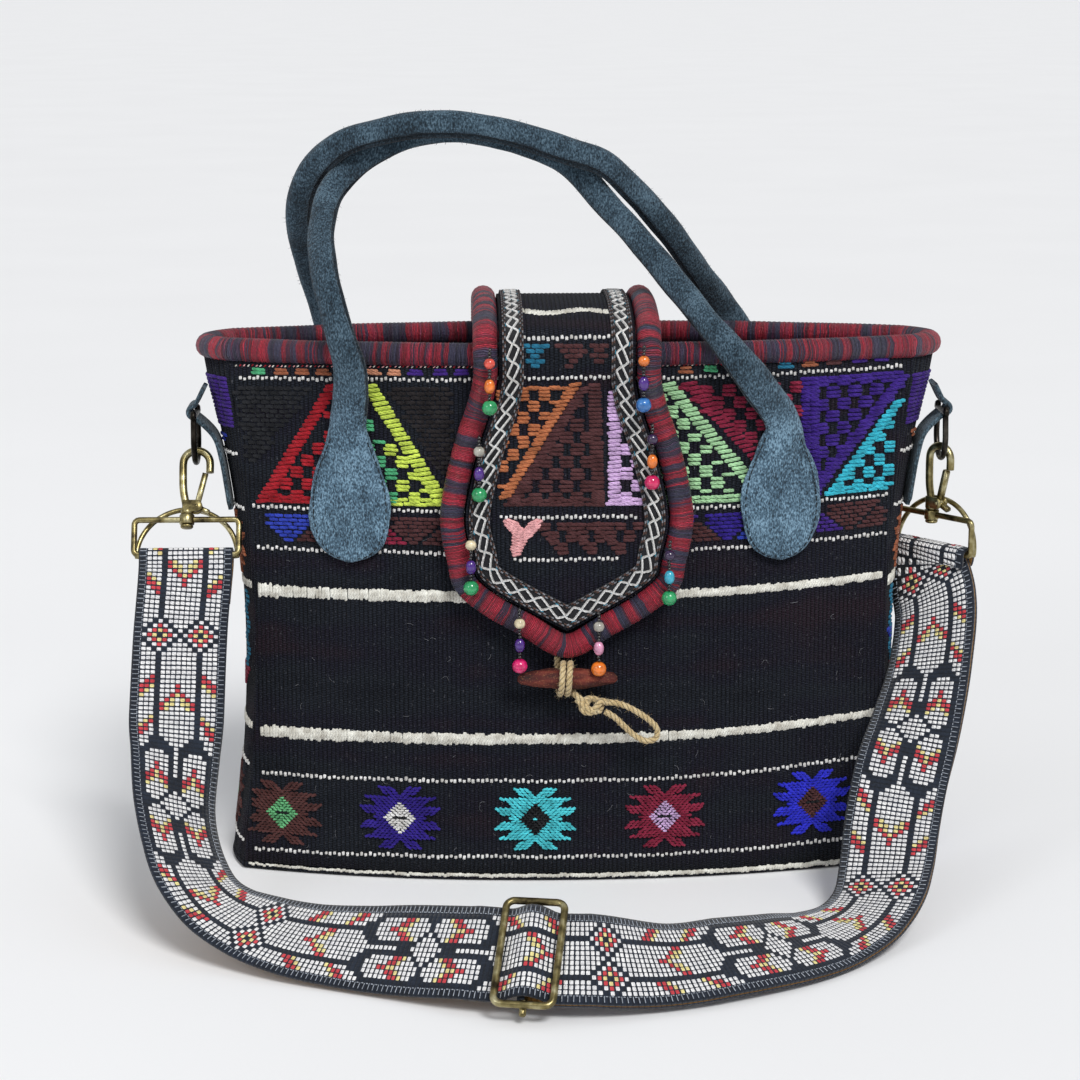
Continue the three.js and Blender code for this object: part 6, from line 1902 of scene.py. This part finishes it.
def add_strap():
    columns = 4
    heights = np.linspace(-0.5, 0.5, columns + 1)
    ridge = 0.12 * np.abs(np.sin(np.pi * STRAP_RUN / ROW))[:, None] - 0.12
    spot, width, face = STRAP
    across = width[:, None] * (heights * STRAP_WIDTH)[None, :, None]
    outer = spot[:, None] + across + face[:, None] * (STRAP_THICKNESS / 2 + ridge)[..., None]
    inner = spot[:, None] + across - face[:, None] * STRAP_THICKNESS / 2
    uv = np.stack(np.broadcast_arrays(STRAP_RUN[:, None], heights[None] * STRAP_WIDTH), -1)
    points, faces, uv = sheet_solid(outer[:, ::-1], inner[:, ::-1], uv)
    per = (len(STRAP_RUN) - 1) * columns
    indices = np.zeros(len(faces), int)
    indices[per:2 * per] = 1
    strap = make_piece("strap_webbing", points, faces, [WEBBING, WEBBING_BACK], uv, indices)
    place(strap, "webbing", "shoulder_strap")
    cells = Stitches(jitter=0.35)
    start, end = 2.0, STRAP_RUN[-1] - 12.0
    loop = STRAP_RUN[STRAP_MARKS[1]]
    for v in np.arange(start, end, ROW):
        for c in range(-7, 8):
            colour = strap_colour(c, v - loop)
            if colour:
                cells.add(c * COLUMN, v, COLUMN * 0.92, ROW * 0.92, colour, height=0.36)
        for side in (-1, 1):
            edge = side * STRAP_WIDTH / 2
            bar, post = edge - side * (BORDER / 2 + 0.2), edge - side * (BORDER - 0.5)
            cells.add(bar, v + ROW / 2, BORDER * 0.9, 0.5, "pale", height=0.18)
            cells.add(post, v, 0.5, ROW * 0.6, "pale", height=0.2)
    pattern = cells.build("strap_pattern", strap_surface, "webbing")
    add_slider()


def add_slider():
    spot, along, width, face = [a[0] for a in strap_frame(np.array([SLIDER_SHARE]))]
    corner = np.array([SLIDER_HALF_LENGTH, SLIDER_HALF_WIDTH])
    plan = rounded_rectangle(-corner, corner, 4.0)
    path = spot + plan[:, :1] * along + plan[:, 1:] * width
    add_metal("slider_wire", [rod(dense(path, 1.0), SLIDER_WIRE, 16, True)], "slider_frame", "bag")
    radii, heights = [0.6, 1.3, 1.7, 1.7, 1.3, 0.6], [-32, -31.8, -31.2, 31.2, 31.8, 32]
    bar = lathe(spot + BAR_DEPTH * face, radii, heights, 20, np.array([along, -face, width]))
    add_metal("slider_rod", [bar], "slider_bar", "bag")


WEBBING = woven_tape("webbing_navy", "10151e", "1f2939", ROW)
WEBBING_BACK = woven_tape("webbing_reverse", "6a4a22", "a3793c", ROW)
WOOL.update({"scarlet": wool("webbing_red", "c8424a", 0.8), "gold": wool("webbing_gold", "f0d995", 0.8),
             "pale": wool("webbing_pale", "a4abb6"), "cell": wool("webbing_white", "eeeef2", 0.82)})
add_strap()
